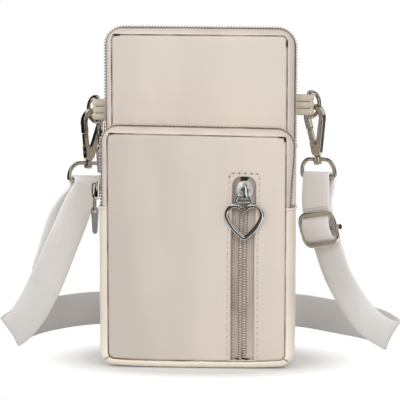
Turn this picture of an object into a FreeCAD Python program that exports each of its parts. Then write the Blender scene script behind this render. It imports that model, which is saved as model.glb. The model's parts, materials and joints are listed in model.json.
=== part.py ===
import FreeCAD, Part
import math
import os
from collections import namedtuple

# A phone pouch: two zipped compartments sewn back to back, a zipped pocket in the front panel,
# and a webbing strap that clips to a ring on each side and lies folded behind the pouch.
# Millimetres. +X is the right side seen from the front, the front faces -Y and +Z is up.
# The origin is on the floor under the middle of the base.

# Compartments
FRONT_HEIGHT = 130.5
FRONT_DEPTH = 24.0
REAR_WIDTH = 105.0
FRONT_WIDTH = REAR_WIDTH
REAR_HEIGHT = 182.8
REAR_DEPTH = 26.0
TOP_CORNER = 13.0
BOTTOM_CORNER = 8.0
EDGE_ROUND = 5.0
SEAM_ROUND = 3.0
WALL = 2.0
SEAM_FLANGE = 8.0
LINING = 0.6
LINING_GAP = 0.4

# Zips
TAPE = 1.0
COIL_WIDTH = 4.4
COIL_SPLIT = 0.5
COIL_PROUD = 0.8
COIL_DEPTH = 1.2
FRONT_ZIP_END = 87.0
REAR_ZIP_END = 118.0
FRONT_ZIP_BACK = 12.0
REAR_ZIP_BACK = 12.0
FRONT_LIP_HINGE = 108.0
REAR_LIP_HINGE = 133.0
LIP_GAP = 0.3
MIN_CORNER = 0.5

# Front pocket
POCKET_INSET = 27.9
POCKET_X = FRONT_WIDTH / 2 - POCKET_INSET
WINDOW_WIDTH = 13.2
WINDOW_TOP = 104.3
WINDOW_CORNER = 5.0
POCKET_TAPE_WIDTH = 18.0
BAG_LEFT_INSET = 14.5
BAG_RIGHT_INSET = 16.5
POCKET_LEFT = BAG_LEFT_INSET - FRONT_WIDTH / 2
POCKET_RIGHT = FRONT_WIDTH / 2 - BAG_RIGHT_INSET
POCKET_DEPTH = 2.5
POCKET_SLOT = 11.0
PLAY = 0.1

# Sliders and pulls
SLIDER_LENGTH = 10.0
SLIDER_WIDTH = 8.6
SLIDER_NECK = 5.6
SLIDER_SHOULDER = 1.5
SLIDER_PLATE = 1.4
SLIDER_INNER_PLATE = 1.0
SLIDER_WEB = 0.3
SLIDER_PLAY = 0.2
CROWN_WIDTH = 1.6
CROWN_LENGTH = 8.4
CROWN_STRIP = 0.9
POCKET_CROWN_GAP = 3.9
SIDE_CROWN_GAP = 1.6
POCKET_SLIDER_Z = 97.0
FRONT_SLIDER_Z = 95.4
REAR_SLIDER_Z = 126.0
LINK_WIRE = 1.2
LINK_WIDTH = 4.4
LINK_LENGTH = 8.5
LINK_CORNER = 1.0
PULL_TOP_WIDTH = 4.2
PULL_TIP_WIDTH = 2.8
PULL_LENGTH = 15.0
PULL_THICK = 1.5
PULL_HOLE = 1.7
BAIL_WIRE = 1.4
BAIL_TOP = 4.7
BAIL_LOW = 7.6
BAIL_LENGTH = 10.2
BAIL_TURN = 25.0
HEART_TURN = -6.0
HEART_WIRE = 1.7
HEART_LOBE = 4.9
HEART_LOBE_X = 4.55
HEART_TIP_DROP = 11.2
HEART_TIP = 1.2
HEART_NOTCH = 0.9

# Side tabs and rings
TAB_Y = 18.6
LEFT_TAB_REACH = 5.2
RIGHT_TAB_REACH = 6.9
TAB_HEIGHT = 11.4
TAB_LAYER = 1.2
TAB_SEWN = 1.5
LEFT_TAB_Z = 137.0
RIGHT_TAB_Z = 140.0
RING_WIRE = 2.2
RING_HALF_HEIGHT = 7.0
RING_CORNER = 1.2
RING_PLAY = 0.2
RING_BACK_ANGLE = 45.0
RING_CONTACT_ANGLE = 60.0

# Swivel hooks
HOOK_THICK = 3.0
HOOK_BAR = 2.8
HOOK_TOP_RADIUS = 7.2
HOOK_TOP_CENTRE = 21.0
HOOK_FOOT_RADIUS = 3.0
HOOK_FOOT_CENTRE = 2.0
EYE_FOOT_RADIUS = 1.0
EYE_FOOT_CENTRE = 7.0
HOOK_HANG = 2.4
LEFT_HOOK_TILT = 6.0
RIGHT_HOOK_TILT = 4.0
GATE_PIVOT_X = 2.0
GATE_PIVOT_Z = 4.6
GATE_REACH = 9.7
GATE_THICK = 2.0
GATE_BARREL = 1.3
GATE_NOSE_GAP = 0.25
GATE_SIDE_GAP = 0.15
GATE_CHEEK_TOP = 7.0
GATE_SLOT_X = -0.1
GATE_SLOT_FLOOR = 3.1
GATE_PIN = 1.2
GATE_PIN_PLAY = 0.05
SPRING_LEAF = 0.3
SPRING_WIDTH = 1.6
SPRING_HEIGHT = 4.9
SPRING_LEAN = 0.7
STUD = 2.4
STUD_PLAY = 0.1
STUD_HEAD = 4.2
STUD_HEAD_HEIGHT = 1.4
BOSS = 5.0
BOSS_HEIGHT = 2.6
BOSS_GAP = 0.25
HEAD_GAP = 0.15
LOOP_WIRE = 2.3
LOOP_HALF_WIDTH = 12.6
LOOP_HEIGHT = 10.0
LOOP_LOW_CORNER = 2.0
LOOP_SHOULDER = 7.0

# Strap
STRAP_WIDTH = 20.0
STRAP_THICK = 1.3
STRAP_PLAY = 0.3
STRAP_LIFT = 0.8
WRAP_STEPS = 6
WRAP_LEAD = 2.5
WRAP_RADIUS = LOOP_WIRE / 2 + STRAP_PLAY + STRAP_THICK / 2
HANK_RUNS = 12
HANK_PITCH = 8.0
HANK_FRONT = 43.0
HANK_BACK = 92.0
HANK_EXIT_BACK = 88.0
HANK_END_ARC = 8.0
HANK_END_TURN = 135.0
TIE_BAND = 0.5
TIE_WIDTH = 5.0
TIE_Y = 66.0
TIE_CORNER = 0.5

# Strap adjuster
ADJUSTER_WIDTH = 27.0
ADJUSTER_HEIGHT = 20.5
ADJUSTER_BAR = 2.8
ADJUSTER_THICK = 2.4
ADJUSTER_CORNER = 4.0
ADJUSTER_FRONT = 3.5
CENTRE_BAR = 1.8
CENTRE_BAR_PLAY = 0.1
CENTRE_BAR_HEAD = 3.2
CENTRE_BAR_HEAD_LENGTH = 2.4
LAYER_OFFSET = 1.5
LAYER_END = 9.0
BULGE_REACH = 6.3
BULGE_KNEE = 4.2
BULGE_SHOULDER = 2.2
BULGE_TOP = 5.3
BULGE_SHOULDER_OUT = 4.3

Vec = FreeCAD.Vector
UP = Vec(0, 0, 1)
FAR = 400.0
ON_PLANE = 1e-4
FRONT_FACE = -(FRONT_DEPTH + REAR_DEPTH) / 2
MIDDLE = FRONT_FACE + FRONT_DEPTH
BACK_FACE = MIDDLE + REAR_DEPTH
FRONT_ZIP_Y = FRONT_FACE + FRONT_ZIP_BACK
REAR_ZIP_Y = MIDDLE + REAR_ZIP_BACK
STRAP_MID_Z = STRAP_LIFT + STRAP_WIDTH / 2

Outline = namedtuple("Outline", "half_width low high low_corner high_corner")
FRONT_OUTLINE = Outline(FRONT_WIDTH / 2, 0.0, FRONT_HEIGHT, BOTTOM_CORNER, TOP_CORNER)
REAR_OUTLINE = Outline(REAR_WIDTH / 2, 0.0, REAR_HEIGHT, BOTTOM_CORNER, TOP_CORNER)

# Strap stations, each a middle point and the direction across the webbing
LEFT_RUN = [
    ((-69.0, 20.3, 84.0), (0.80, 0.60, -0.03)),
    ((-73.6, 20.5, 72.5), (0.82, 0.55, -0.12)),
    ((-79.8, 20.7, 58.5), (0.84, 0.48, -0.24)),
    ((-86.0, 20.9, 43.5), (0.84, 0.38, -0.37)),
    ((-92.9, 21.3, 28.5), (0.79, 0.33, -0.52)),
    ((-100.3, 21.8, 17.0), (0.68, 0.33, -0.66)),
    ((-106.6, 22.4, 11.0), (0.55, 0.34, -0.76)),
    ((-109.2, 23.8, 9.8), (0.46, 0.33, -0.82)),
    ((-109.4, 27.6, 9.9), (0.40, 0.29, -0.87)),
    ((-107.4, 41.0, 10.4), (0.26, 0.12, -0.96)),
    ((-102.4, 59.0, 10.8), (0.14, -0.02, -0.99)),
    ((-93.0, 75.5, 10.9), (0.06, -0.08, -0.99)),
    ((-79.5, 90.0, 10.9), (0.02, -0.06, -1.0)),
    ((-66.5, 97.6, 10.8), (0.0, -0.03, -1.0)),
]
LEFT_TAIL = [
    ((-74.5, 27.2, 83.0), (0.80, 0.60, -0.05)),
    ((-79.5, 28.6, 72.5), (0.82, 0.55, -0.12)),
    ((-83.0, 27.2, 59.0), (0.84, 0.48, -0.24)),
    ((-87.2, 22.9, 43.3), (0.84, 0.38, -0.37)),
]
RIGHT_RUN = [
    ((64.2, 23.4, 85.0), (0.76, -0.65, 0.05)),
    ((67.6, 23.5, 71.0), (0.76, -0.64, 0.08)),
    ((71.6, 23.6, 57.0), (0.76, -0.63, 0.12)),
    ((75.8, 23.4, 44.5), (0.74, -0.64, 0.20)),
    ((83.0, 23.6, 31.5), (0.70, -0.60, 0.38)),
    ((91.0, 24.0, 20.3), (0.64, -0.52, 0.56)),
    ((99.0, 24.8, 13.4), (0.55, -0.45, 0.70)),
    ((105.0, 25.4, 10.4), (0.47, -0.41, 0.78)),
    ((107.0, 27.0, 9.9), (0.42, -0.36, 0.83)),
    ((107.0, 31.0, 10.0), (0.36, -0.28, 0.89)),
    ((103.8, 42.0, 10.5), (0.22, -0.12, 0.97)),
    ((97.6, 54.0, 10.9), (0.10, 0.0, 0.99)),
    ((87.5, 66.5, 10.9), (0.04, 0.04, 1.0)),
    ((73.0, 79.5, 10.8), (0.0, 0.0, 1.0)),
]


def inset(outline, by):
    """The same outline drawn in on all sides, with corners that keep the margin even."""
    return Outline(
        outline.half_width - by,
        outline.low + by,
        outline.high - by,
        max(outline.low_corner - by, MIN_CORNER),
        max(outline.high_corner - by, MIN_CORNER),
    )


def outline_wire(outline, y):
    """Rounded rectangle in an upright plane facing the front."""
    w, low, high, a, b = outline
    k = 1 - math.sqrt(0.5)
    corners = [
        (Vec(w - a, y, low), Vec(w - a * k, y, low + a * k), Vec(w, y, low + a)),
        (Vec(w, y, high - b), Vec(w - b * k, y, high - b * k), Vec(w - b, y, high)),
        (Vec(b - w, y, high), Vec(b * k - w, y, high - b * k), Vec(-w, y, high - b)),
        (Vec(-w, y, low + a), Vec(a * k - w, y, low + a * k), Vec(a - w, y, low)),
    ]
    edges = []
    for index, (start, middle, end) in enumerate(corners):
        edges.append(Part.Arc(start, middle, end).toShape())
        edges.append(Part.LineSegment(end, corners[(index + 1) % 4][0]).toShape())
    return Part.Wire(edges)


def block(outline, front, back):
    """Solid of one outline between two depths."""
    return Part.Face(outline_wire(outline, front)).extrude(Vec(0, back - front, 0))


def round_edges(solid, y, radius):
    """Round all edges that lie in the plane at one depth."""
    edges = []
    for edge in solid.Edges:
        box = edge.BoundBox
        if abs(box.YMin - y) < ON_PLANE and abs(box.YMax - y) < ON_PLANE:
            edges.append(edge)
    return solid.makeFillet(radius, edges)


def soft_block(outline, front, back, front_round, back_round):
    """Block whose front and back edges are rounded over."""
    solid = round_edges(block(outline, front, back), front, front_round)
    return round_edges(solid, back, back_round)


def shell(outline, front, back, wall, front_round, back_round):
    """Closed shell of one wall thickness."""
    outer = soft_block(outline, front, back, front_round, back_round)
    inner = soft_block(
        inset(outline, wall), front + wall, back - wall, front_round - wall, back_round - wall
    )
    return outer.cut(inner)


def keep(solid, x=(-FAR, FAR), y=(-FAR, FAR), z=(-FAR, FAR)):
    """The part of a solid between the given limits."""
    size = (x[1] - x[0], y[1] - y[0], z[1] - z[0])
    return solid.common(Part.makeBox(*size, Vec(x[0], y[0], z[0])))


def box(x, y, z):
    """Box between pairs of limits."""
    return Part.makeBox(x[1] - x[0], y[1] - y[0], z[1] - z[0], Vec(x[0], y[0], z[0]))


def tube(edges, diameter):
    """Round wire along a path of lines and arcs."""
    path = Part.Wire(edges)
    start = path.Edges[0]
    first = start.FirstParameter
    ring = Part.makeCircle(diameter / 2, start.valueAt(first), start.tangentAt(first))
    return Part.Solid(path.makePipeShell([Part.Wire([ring])], True, False))


def arc(start, middle, end):
    return Part.Arc(start, middle, end).toShape()


def line(start, end):
    return Part.LineSegment(start, end).toShape()


def turned(shape, angle, offset):
    """Copy of a shape turned about the upright axis through the origin, then moved."""
    copy = shape.copy()
    copy.rotate(Vec(0, 0, 0), UP, angle)
    copy.translate(offset)
    return copy


def panel_cutter(outline, front, back):
    """Prism over the flat panel that lies inside the rounded edge."""
    return block(inset(outline, EDGE_ROUND), front, back)


def compartment(outline, front, back, back_round, wall, front_panel, back_opening):
    """Side band of a compartment: its shell without the front panel and the back opening."""
    return shell(outline, front, back, wall, EDGE_ROUND, back_round).cut(front_panel).cut(back_opening)


def coil(outline, zip_end, front, back):
    """Flat strip of zip coil that runs over the top of a compartment."""
    outer = block(inset(outline, -COIL_PROUD), front, back)
    inner = block(inset(outline, COIL_DEPTH), front, back)
    return keep(outer.cut(inner), z=(zip_end, FAR))


def zip_nodes(prefix, band, outline, zip_y, zip_end, hinge):
    """Tapes and coil halves of one compartment zip, with the front half split at the lip fold."""
    near = zip_y - COIL_WIDTH / 2
    far = zip_y + COIL_WIDTH / 2
    split = COIL_SPLIT / 2
    front_tape = keep(band, y=(-FAR, near), z=(zip_end, FAR))
    front_coil = coil(outline, zip_end, near, zip_y - split)
    below = (-FAR, hinge)
    above = (hinge + LIP_GAP, FAR)
    return {
        prefix + "_zip_back_tape": keep(band, y=(far, FAR), z=(zip_end, FAR)),
        prefix + "_zip_back_coil": coil(outline, zip_end, zip_y + split, far),
        prefix + "_zip_side_tapes": keep(front_tape, z=below),
        prefix + "_zip_side_coils": keep(front_coil, z=below),
        prefix + "_lip_tape": keep(front_tape, z=above),
        prefix + "_lip_coil": keep(front_coil, z=above),
    }


def lining(outline, front, back, top):
    """Thin bag inside a compartment, open at the top."""
    inner_round = EDGE_ROUND - WALL
    fitted = inset(outline, WALL + LINING_GAP)
    bag = shell(fitted, front, back, LINING, inner_round, inner_round)
    return keep(bag, z=(-FAR, top))


def front_compartment():
    """Front panel with the pocket window, side band, zip and lining."""
    panel_area = panel_cutter(FRONT_OUTLINE, FRONT_FACE - WALL, FRONT_FACE + WALL)
    opening = block(inset(FRONT_OUTLINE, SEAM_FLANGE), MIDDLE - WALL, MIDDLE + WALL)
    fabric = compartment(FRONT_OUTLINE, FRONT_FACE, MIDDLE, SEAM_ROUND, WALL, panel_area, opening)
    tape = compartment(FRONT_OUTLINE, FRONT_FACE, MIDDLE, SEAM_ROUND, TAPE, panel_area, opening)
    panel = keep(panel_area, y=(FRONT_FACE, FRONT_FACE + WALL))
    window_outline = Outline(WINDOW_WIDTH / 2, 0.0, WINDOW_TOP, MIN_CORNER, WINDOW_CORNER)
    window = block(window_outline, FRONT_FACE - WALL, FRONT_FACE + 2 * WALL)
    window.translate(Vec(POCKET_X, 0, 0))
    lining_front = FRONT_FACE + WALL + TAPE + PLAY + POCKET_DEPTH + LINING_GAP
    nodes = zip_nodes("front", tape, FRONT_OUTLINE, FRONT_ZIP_Y, FRONT_ZIP_END, FRONT_LIP_HINGE)
    nodes["front_panel"] = keep(panel, z=(-FAR, FRONT_LIP_HINGE)).cut(window)
    nodes["front_lip_panel"] = keep(panel, z=(FRONT_LIP_HINGE + LIP_GAP, FAR))
    nodes["front_gusset"] = keep(fabric, z=(-FAR, FRONT_ZIP_END))
    nodes["front_lining"] = lining(
        FRONT_OUTLINE, lining_front, MIDDLE - WALL - LINING_GAP, FRONT_ZIP_END - LINING_GAP
    )
    return nodes


def rear_compartment():
    """Divider panel, side band, zip, back panel and lining."""
    front_area = panel_cutter(REAR_OUTLINE, MIDDLE, MIDDLE + WALL)
    back_area = panel_cutter(REAR_OUTLINE, BACK_FACE - WALL, BACK_FACE)
    ends = (REAR_OUTLINE, MIDDLE, BACK_FACE, EDGE_ROUND)
    fabric = compartment(*ends, WALL, front_area, back_area)
    tape = compartment(*ends, TAPE, front_area, back_area)
    nodes = zip_nodes("rear", tape, REAR_OUTLINE, REAR_ZIP_Y, REAR_ZIP_END, REAR_LIP_HINGE)
    nodes["divider_panel"] = keep(front_area, z=(-FAR, REAR_LIP_HINGE))
    nodes["rear_lip_panel"] = keep(front_area, z=(REAR_LIP_HINGE + LIP_GAP, FAR))
    nodes["rear_gusset"] = keep(fabric, z=(-FAR, REAR_ZIP_END))
    nodes["back_panel"] = back_area
    nodes["rear_lining"] = lining(
        REAR_OUTLINE, MIDDLE + WALL + LINING_GAP, BACK_FACE - WALL - LINING_GAP, REAR_ZIP_END - LINING_GAP
    )
    return nodes


def pocket():
    """Zip tapes, coil halves and the flat bag behind the window."""
    surface = FRONT_FACE + WALL
    low = EDGE_ROUND + PLAY
    top = FRONT_LIP_HINGE - LIP_GAP
    coil_y = (surface - COIL_PROUD, surface + COIL_DEPTH)
    half_coil = COIL_WIDTH / 2
    half_split = COIL_SPLIT / 2
    bag_front = surface + TAPE + PLAY
    bag_y = (bag_front, bag_front + POCKET_DEPTH)
    bag = box((POCKET_LEFT, POCKET_RIGHT), bag_y, (low, top))
    hollow = box(
        (POCKET_LEFT + LINING, POCKET_RIGHT - LINING),
        (bag_y[0] + LINING, bag_y[1] - LINING),
        (low + LINING, top - LINING),
    )
    slot_x = (POCKET_X - POCKET_SLOT / 2, POCKET_X + POCKET_SLOT / 2)
    slot = box(slot_x, (bag_y[0] - PLAY, bag_y[0] + 2 * LINING), (low - PLAY, top - LINING))
    nodes = {"pocket_bag": bag.cut(hollow).cut(slot)}
    for side, sign in (("left", -1), ("right", 1)):
        tape_x = sorted((POCKET_X + sign * half_coil, POCKET_X + sign * POCKET_TAPE_WIDTH / 2))
        coil_x = sorted((POCKET_X + sign * half_split, POCKET_X + sign * half_coil))
        nodes["pocket_tape_" + side] = box(tape_x, (surface, surface + TAPE), (low, top))
        nodes["pocket_coil_" + side] = box(coil_x, coil_y, (low, WINDOW_TOP - PLAY))
    return nodes


def slider(crown_gap):
    """Zip slider on a tape that faces -Y at the origin: two plates, a thin web and the crown."""
    half = SLIDER_LENGTH / 2
    plate_back = -(COIL_PROUD + SLIDER_PLAY)
    plate_front = plate_back - SLIDER_PLATE
    inner_front = COIL_DEPTH + SLIDER_PLAY
    wide = SLIDER_WIDTH / 2
    neck = SLIDER_NECK / 2
    right_side = [(neck, -half), (wide, SLIDER_SHOULDER), (neck, half)]
    left_side = [(-x, z) for x, z in reversed(right_side)]
    points = [Vec(x, plate_front, z) for x, z in right_side + left_side]
    outer_plate = Part.Face(Part.makePolygon(points + points[:1])).extrude(Vec(0, SLIDER_PLATE, 0))
    inner_plate = box((-neck, neck), (inner_front, inner_front + SLIDER_INNER_PLATE), (-half, half))
    web = box((-SLIDER_WEB / 2, SLIDER_WEB / 2), (plate_back, inner_front), (-half, half))
    crown_x = (-CROWN_WIDTH / 2, CROWN_WIDTH / 2)
    crown_front = plate_front - crown_gap - CROWN_STRIP
    crown = box(crown_x, (crown_front, plate_front), (-CROWN_LENGTH / 2, CROWN_LENGTH / 2))
    inside = CROWN_LENGTH / 2 - CROWN_STRIP
    tunnel = box(crown_x, (plate_front - crown_gap, plate_front), (-inside, inside))
    return outer_plate.fuse([inner_plate, web, crown.cut(tunnel)]).removeSplitter()


def crown_bar(wire, crown_gap):
    """Place of a pull's top bar in the crown, as depth and height from the slider's middle."""
    depth = -(COIL_PROUD + SLIDER_PLAY + SLIDER_PLATE + crown_gap / 2)
    height = -(CROWN_LENGTH / 2 - CROWN_STRIP) + wire / 2 + PLAY
    return depth, height


def rounded_path(corners):
    """Closed path of straight runs joined by tangent arcs, from corner points and radii."""
    count = len(corners)
    rounds = []
    for index, (point, radius) in enumerate(corners):
        back = corners[index - 1][0] - point
        ahead = corners[(index + 1) % count][0] - point
        half_angle = back.getAngle(ahead) / 2
        back.normalize()
        ahead.normalize()
        middle_way = back + ahead
        middle_way.normalize()
        reach = radius / math.tan(half_angle)
        middle = point + middle_way * (radius / math.sin(half_angle) - radius)
        rounds.append((point + back * reach, middle, point + ahead * reach))
    edges = []
    for index, (start, middle, end) in enumerate(rounds):
        edges.append(line(rounds[index - 1][2], start))
        edges.append(arc(start, middle, end))
    return edges


def wire_loop(top_width, low_width, length, wire):
    """Closed wire loop hanging from a bar at the origin."""
    a = top_width / 2
    b = low_width / 2
    points = [Vec(-a, 0, 0), Vec(a, 0, 0), Vec(b, 0, -length), Vec(-b, 0, -length)]
    return tube(rounded_path([(point, LINK_CORNER) for point in points]), wire)


def pull_tab():
    """Tapered tab hanging edge-on from a bar at the origin."""
    top = PULL_HOLE / 2 + PULL_THICK
    low = top - PULL_LENGTH
    a = PULL_TOP_WIDTH / 2
    b = PULL_TIP_WIDTH / 2
    x = -PULL_THICK / 2
    edges = [
        line(Vec(x, -a, top - a), Vec(x, -b, low + b)),
        arc(Vec(x, -b, low + b), Vec(x, 0, low), Vec(x, b, low + b)),
        line(Vec(x, b, low + b), Vec(x, a, top - a)),
        arc(Vec(x, a, top - a), Vec(x, 0, top), Vec(x, -a, top - a)),
    ]
    tab = Part.Face(Part.Wire(edges)).extrude(Vec(PULL_THICK, 0, 0))
    hole = Part.makeCylinder(PULL_HOLE / 2, PULL_THICK, Vec(x, 0, 0), Vec(1, 0, 0))
    return tab.cut(hole)


def side_pull_nodes(prefix, zip_y, half_width, height):
    """Slider, link and tapered tab on the left side of one compartment."""
    place = Vec(-half_width, zip_y, height)
    depth, bar = crown_bar(LINK_WIRE, SIDE_CROWN_GAP)
    link = wire_loop(LINK_WIDTH, LINK_WIDTH, LINK_LENGTH, LINK_WIRE)
    link.translate(Vec(0, depth, bar))
    tab = pull_tab()
    tab.translate(Vec(0, depth, bar - LINK_LENGTH - (PULL_HOLE - LINK_WIRE) / 2 + PLAY))
    return {
        prefix + "_slider": turned(slider(SIDE_CROWN_GAP), -90, place),
        prefix + "_pull_link": turned(link, -90, place),
        prefix + "_pull_tab": turned(tab, -90, place),
    }


def mirrored(point):
    """The same point on the other side of the middle plane."""
    return Vec(-point.x, point.y, point.z)


def heart():
    """Closed heart outline in round wire, with the middle of its lobes at the origin."""
    lobe = Vec(HEART_LOBE_X, 0, 0)
    tip = Vec(0, 0, -HEART_TIP_DROP)
    along = lobe - tip
    span = along.Length
    along.normalize()
    side = Vec(along.z, 0, -along.x)
    lean = (HEART_LOBE - HEART_TIP) / span
    out = side * math.sqrt(1 - lean * lean) - along * lean
    reach = HEART_LOBE + HEART_NOTCH
    notch = Vec(0, 0, math.sqrt(reach * reach - HEART_LOBE_X * HEART_LOBE_X))
    inward = (notch - lobe) * (1 / reach)
    tip_side = tip + out * HEART_TIP
    lobe_low = lobe + out * HEART_LOBE
    lobe_top = lobe + UP * HEART_LOBE
    lobe_in = lobe + inward * HEART_LOBE
    edges = [
        line(tip_side, lobe_low),
        arc(lobe_low, lobe_top, lobe_in),
        arc(lobe_in, notch - Vec(0, 0, HEART_NOTCH), mirrored(lobe_in)),
        arc(mirrored(lobe_in), mirrored(lobe_top), mirrored(lobe_low)),
        line(mirrored(lobe_low), mirrored(tip_side)),
        arc(mirrored(tip_side), tip - Vec(0, 0, HEART_TIP), tip_side),
    ]
    notch_drop = HEART_NOTCH - notch.z
    return tube(edges, HEART_WIRE), notch_drop


def pocket_pull_nodes():
    """Slider, wire bail and open heart on the pocket zip."""
    place = Vec(POCKET_X, FRONT_FACE + WALL, POCKET_SLIDER_Z)
    depth, bar = crown_bar(BAIL_WIRE, POCKET_CROWN_GAP)
    bail = wire_loop(BAIL_TOP, BAIL_LOW, BAIL_LENGTH, BAIL_WIRE)
    bail = turned(bail, BAIL_TURN, Vec(0, depth, bar))
    charm, notch_drop = heart()
    notch_z = bar - BAIL_LENGTH + (BAIL_WIRE + HEART_WIRE) / 2 + PLAY
    charm = turned(charm, HEART_TURN, Vec(0, depth, notch_z + notch_drop))
    nodes = {"pocket_slider": slider(POCKET_CROWN_GAP), "pocket_pull_bail": bail, "heart_pull": charm}
    for shape in nodes.values():
        shape.translate(place)
    return nodes


def tab(side, reach, height):
    """Doubled fabric loop sewn to the side, folded round the straight bar of its ring."""
    inner = RING_WIRE / 2 + RING_PLAY
    outer = inner + TAB_LAYER
    root = REAR_WIDTH / 2
    bar_x = root + reach
    base = Vec(0, TAB_Y, height - TAB_HEIGHT / 2)
    shape = box((root, bar_x), (-outer, outer), (0, TAB_HEIGHT))
    shape = shape.fuse(Part.makeCylinder(outer, TAB_HEIGHT, Vec(bar_x, 0, 0)))
    shape = shape.cut(Part.makeCylinder(inner, TAB_HEIGHT, Vec(bar_x, 0, 0)))
    shape = shape.cut(box((root + TAB_SEWN, bar_x), (-inner, inner), (0, TAB_HEIGHT))).removeSplitter()
    if side < 0:
        shape = shape.mirror(Vec(0, 0, 0), Vec(1, 0, 0))
    shape.translate(base)
    return shape


def ring():
    """D-shaped ring with its straight bar on the upright axis and its bow towards +X."""
    c = RING_CORNER
    h = RING_HALF_HEIGHT
    k = c * (1 - math.sqrt(0.5))
    edges = [
        line(Vec(0, 0, c - h), Vec(0, 0, h - c)),
        arc(Vec(0, 0, h - c), Vec(k, 0, h - k), Vec(c, 0, h)),
        arc(Vec(c, 0, h), Vec(c + h, 0, 0), Vec(c, 0, -h)),
        arc(Vec(c, 0, -h), Vec(k, 0, k - h), Vec(0, 0, c - h)),
    ]
    return tube(edges, RING_WIRE)


def teardrop(high_centre, high_radius, low_centre, low_radius):
    """Plate outlined by two circles and their common tangents, one hook thickness deep."""
    y = -HOOK_THICK / 2
    s = (high_radius - low_radius) / (high_centre - low_centre)
    c = math.sqrt(1 - s * s)
    high = Vec(high_radius * c, y, high_centre - high_radius * s)
    low = Vec(low_radius * c, y, low_centre - low_radius * s)
    high_left = Vec(-high.x, y, high.z)
    low_left = Vec(-low.x, y, low.z)
    edges = [
        line(low, high),
        arc(high, Vec(0, y, high_centre + high_radius), high_left),
        line(high_left, low_left),
        arc(low_left, Vec(0, y, low_centre - low_radius), low),
    ]
    return Part.Face(Part.Wire(edges)).extrude(Vec(0, HOOK_THICK, 0))


def across(radius, length):
    """Cylinder along the gate's pivot, centred on the hook's plane."""
    start = Vec(GATE_PIVOT_X, -length / 2, GATE_PIVOT_Z)
    return Part.makeCylinder(radius, length, start, Vec(0, 1, 0))


def hook_parts():
    """Hook body with its swivel stud, sprung gate, pivot pin and leaf spring, foot at the origin."""
    drop = teardrop(HOOK_TOP_CENTRE, HOOK_TOP_RADIUS, HOOK_FOOT_CENTRE, HOOK_FOOT_RADIUS)
    eye = teardrop(HOOK_TOP_CENTRE, HOOK_TOP_RADIUS - HOOK_BAR, EYE_FOOT_CENTRE, EYE_FOOT_RADIUS)
    frame = drop.cut(eye)
    slot_half = GATE_THICK / 2 + GATE_SIDE_GAP
    nose = across(GATE_REACH + GATE_NOSE_GAP, HOOK_THICK)
    mouth = box((0, FAR), (-HOOK_THICK, HOOK_THICK), (GATE_CHEEK_TOP, FAR)).common(nose)
    slot = box((GATE_SLOT_X, FAR), (-slot_half, slot_half), (GATE_SLOT_FLOOR, FAR)).common(nose)
    pin = across(GATE_PIN / 2, HOOK_THICK)
    foot = HOOK_FOOT_CENTRE - HOOK_FOOT_RADIUS
    stud_end = foot - BOSS_GAP - BOSS_HEIGHT - HEAD_GAP - STUD_HEAD_HEIGHT
    stud = Part.makeCylinder(STUD / 2, HOOK_FOOT_CENTRE - stud_end, Vec(0, 0, stud_end))
    head = Part.makeCylinder(STUD_HEAD / 2, STUD_HEAD_HEIGHT, Vec(0, 0, stud_end))
    body = frame.fuse([stud, head]).cut(mouth).cut(slot).cut(pin)
    arm_area = box((0, FAR), (-GATE_THICK / 2, GATE_THICK / 2), (GATE_CHEEK_TOP, FAR))
    arm = frame.common(arm_area).common(across(GATE_REACH, HOOK_THICK))
    barrel = across(GATE_BARREL, GATE_THICK)
    neck_x = (GATE_PIVOT_X - GATE_BARREL, GATE_PIVOT_X + GATE_BARREL)
    neck = box(neck_x, (-GATE_THICK / 2, GATE_THICK / 2), (GATE_PIVOT_Z, GATE_CHEEK_TOP + HOOK_BAR))
    neck = neck.common(drop).cut(eye)
    gate = arm.fuse([barrel, neck]).removeSplitter().cut(across(GATE_PIN / 2 + GATE_PIN_PLAY, HOOK_THICK))
    leaf_y = (-SPRING_WIDTH / 2, SPRING_WIDTH / 2)
    leaf_foot = GATE_SLOT_X + PLAY
    leaf_points = [
        Vec(leaf_foot, leaf_y[0], GATE_SLOT_FLOOR),
        Vec(leaf_foot + SPRING_LEAF, leaf_y[0], GATE_SLOT_FLOOR),
        Vec(leaf_foot + SPRING_LEAF + SPRING_LEAN, leaf_y[0], GATE_SLOT_FLOOR + SPRING_HEIGHT),
        Vec(leaf_foot + SPRING_LEAN, leaf_y[0], GATE_SLOT_FLOOR + SPRING_HEIGHT),
    ]
    leaf = Part.Face(Part.makePolygon(leaf_points + leaf_points[:1])).extrude(Vec(0, SPRING_WIDTH, 0))
    return {"hook": body, "gate": gate, "gate_pin": pin, "gate_spring": leaf.cut(gate)}


def boss_middle():
    """Height of the middle of the strap loop's boss below the hook's foot."""
    return HOOK_FOOT_CENTRE - HOOK_FOOT_RADIUS - BOSS_GAP - BOSS_HEIGHT / 2


def strap_loop():
    """Wire loop for the strap, with a bored boss that turns on the hook's stud."""
    top = boss_middle()
    low = top - LOOP_HEIGHT
    w = LOOP_HALF_WIDTH
    path = rounded_path([
        (Vec(-w, 0, low), LOOP_LOW_CORNER),
        (Vec(w, 0, low), LOOP_LOW_CORNER),
        (Vec(w, 0, top), LOOP_SHOULDER),
        (Vec(-w, 0, top), LOOP_SHOULDER),
    ])
    boss_foot = Vec(0, 0, top - BOSS_HEIGHT / 2)
    boss = Part.makeCylinder(BOSS / 2, BOSS_HEIGHT, boss_foot)
    bore = Part.makeCylinder(STUD / 2 + STUD_PLAY, 2 * BOSS_HEIGHT, boss_foot - Vec(0, 0, BOSS_HEIGHT / 2))
    return tube(path, LOOP_WIRE).fuse(boss).cut(bore)


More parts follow.
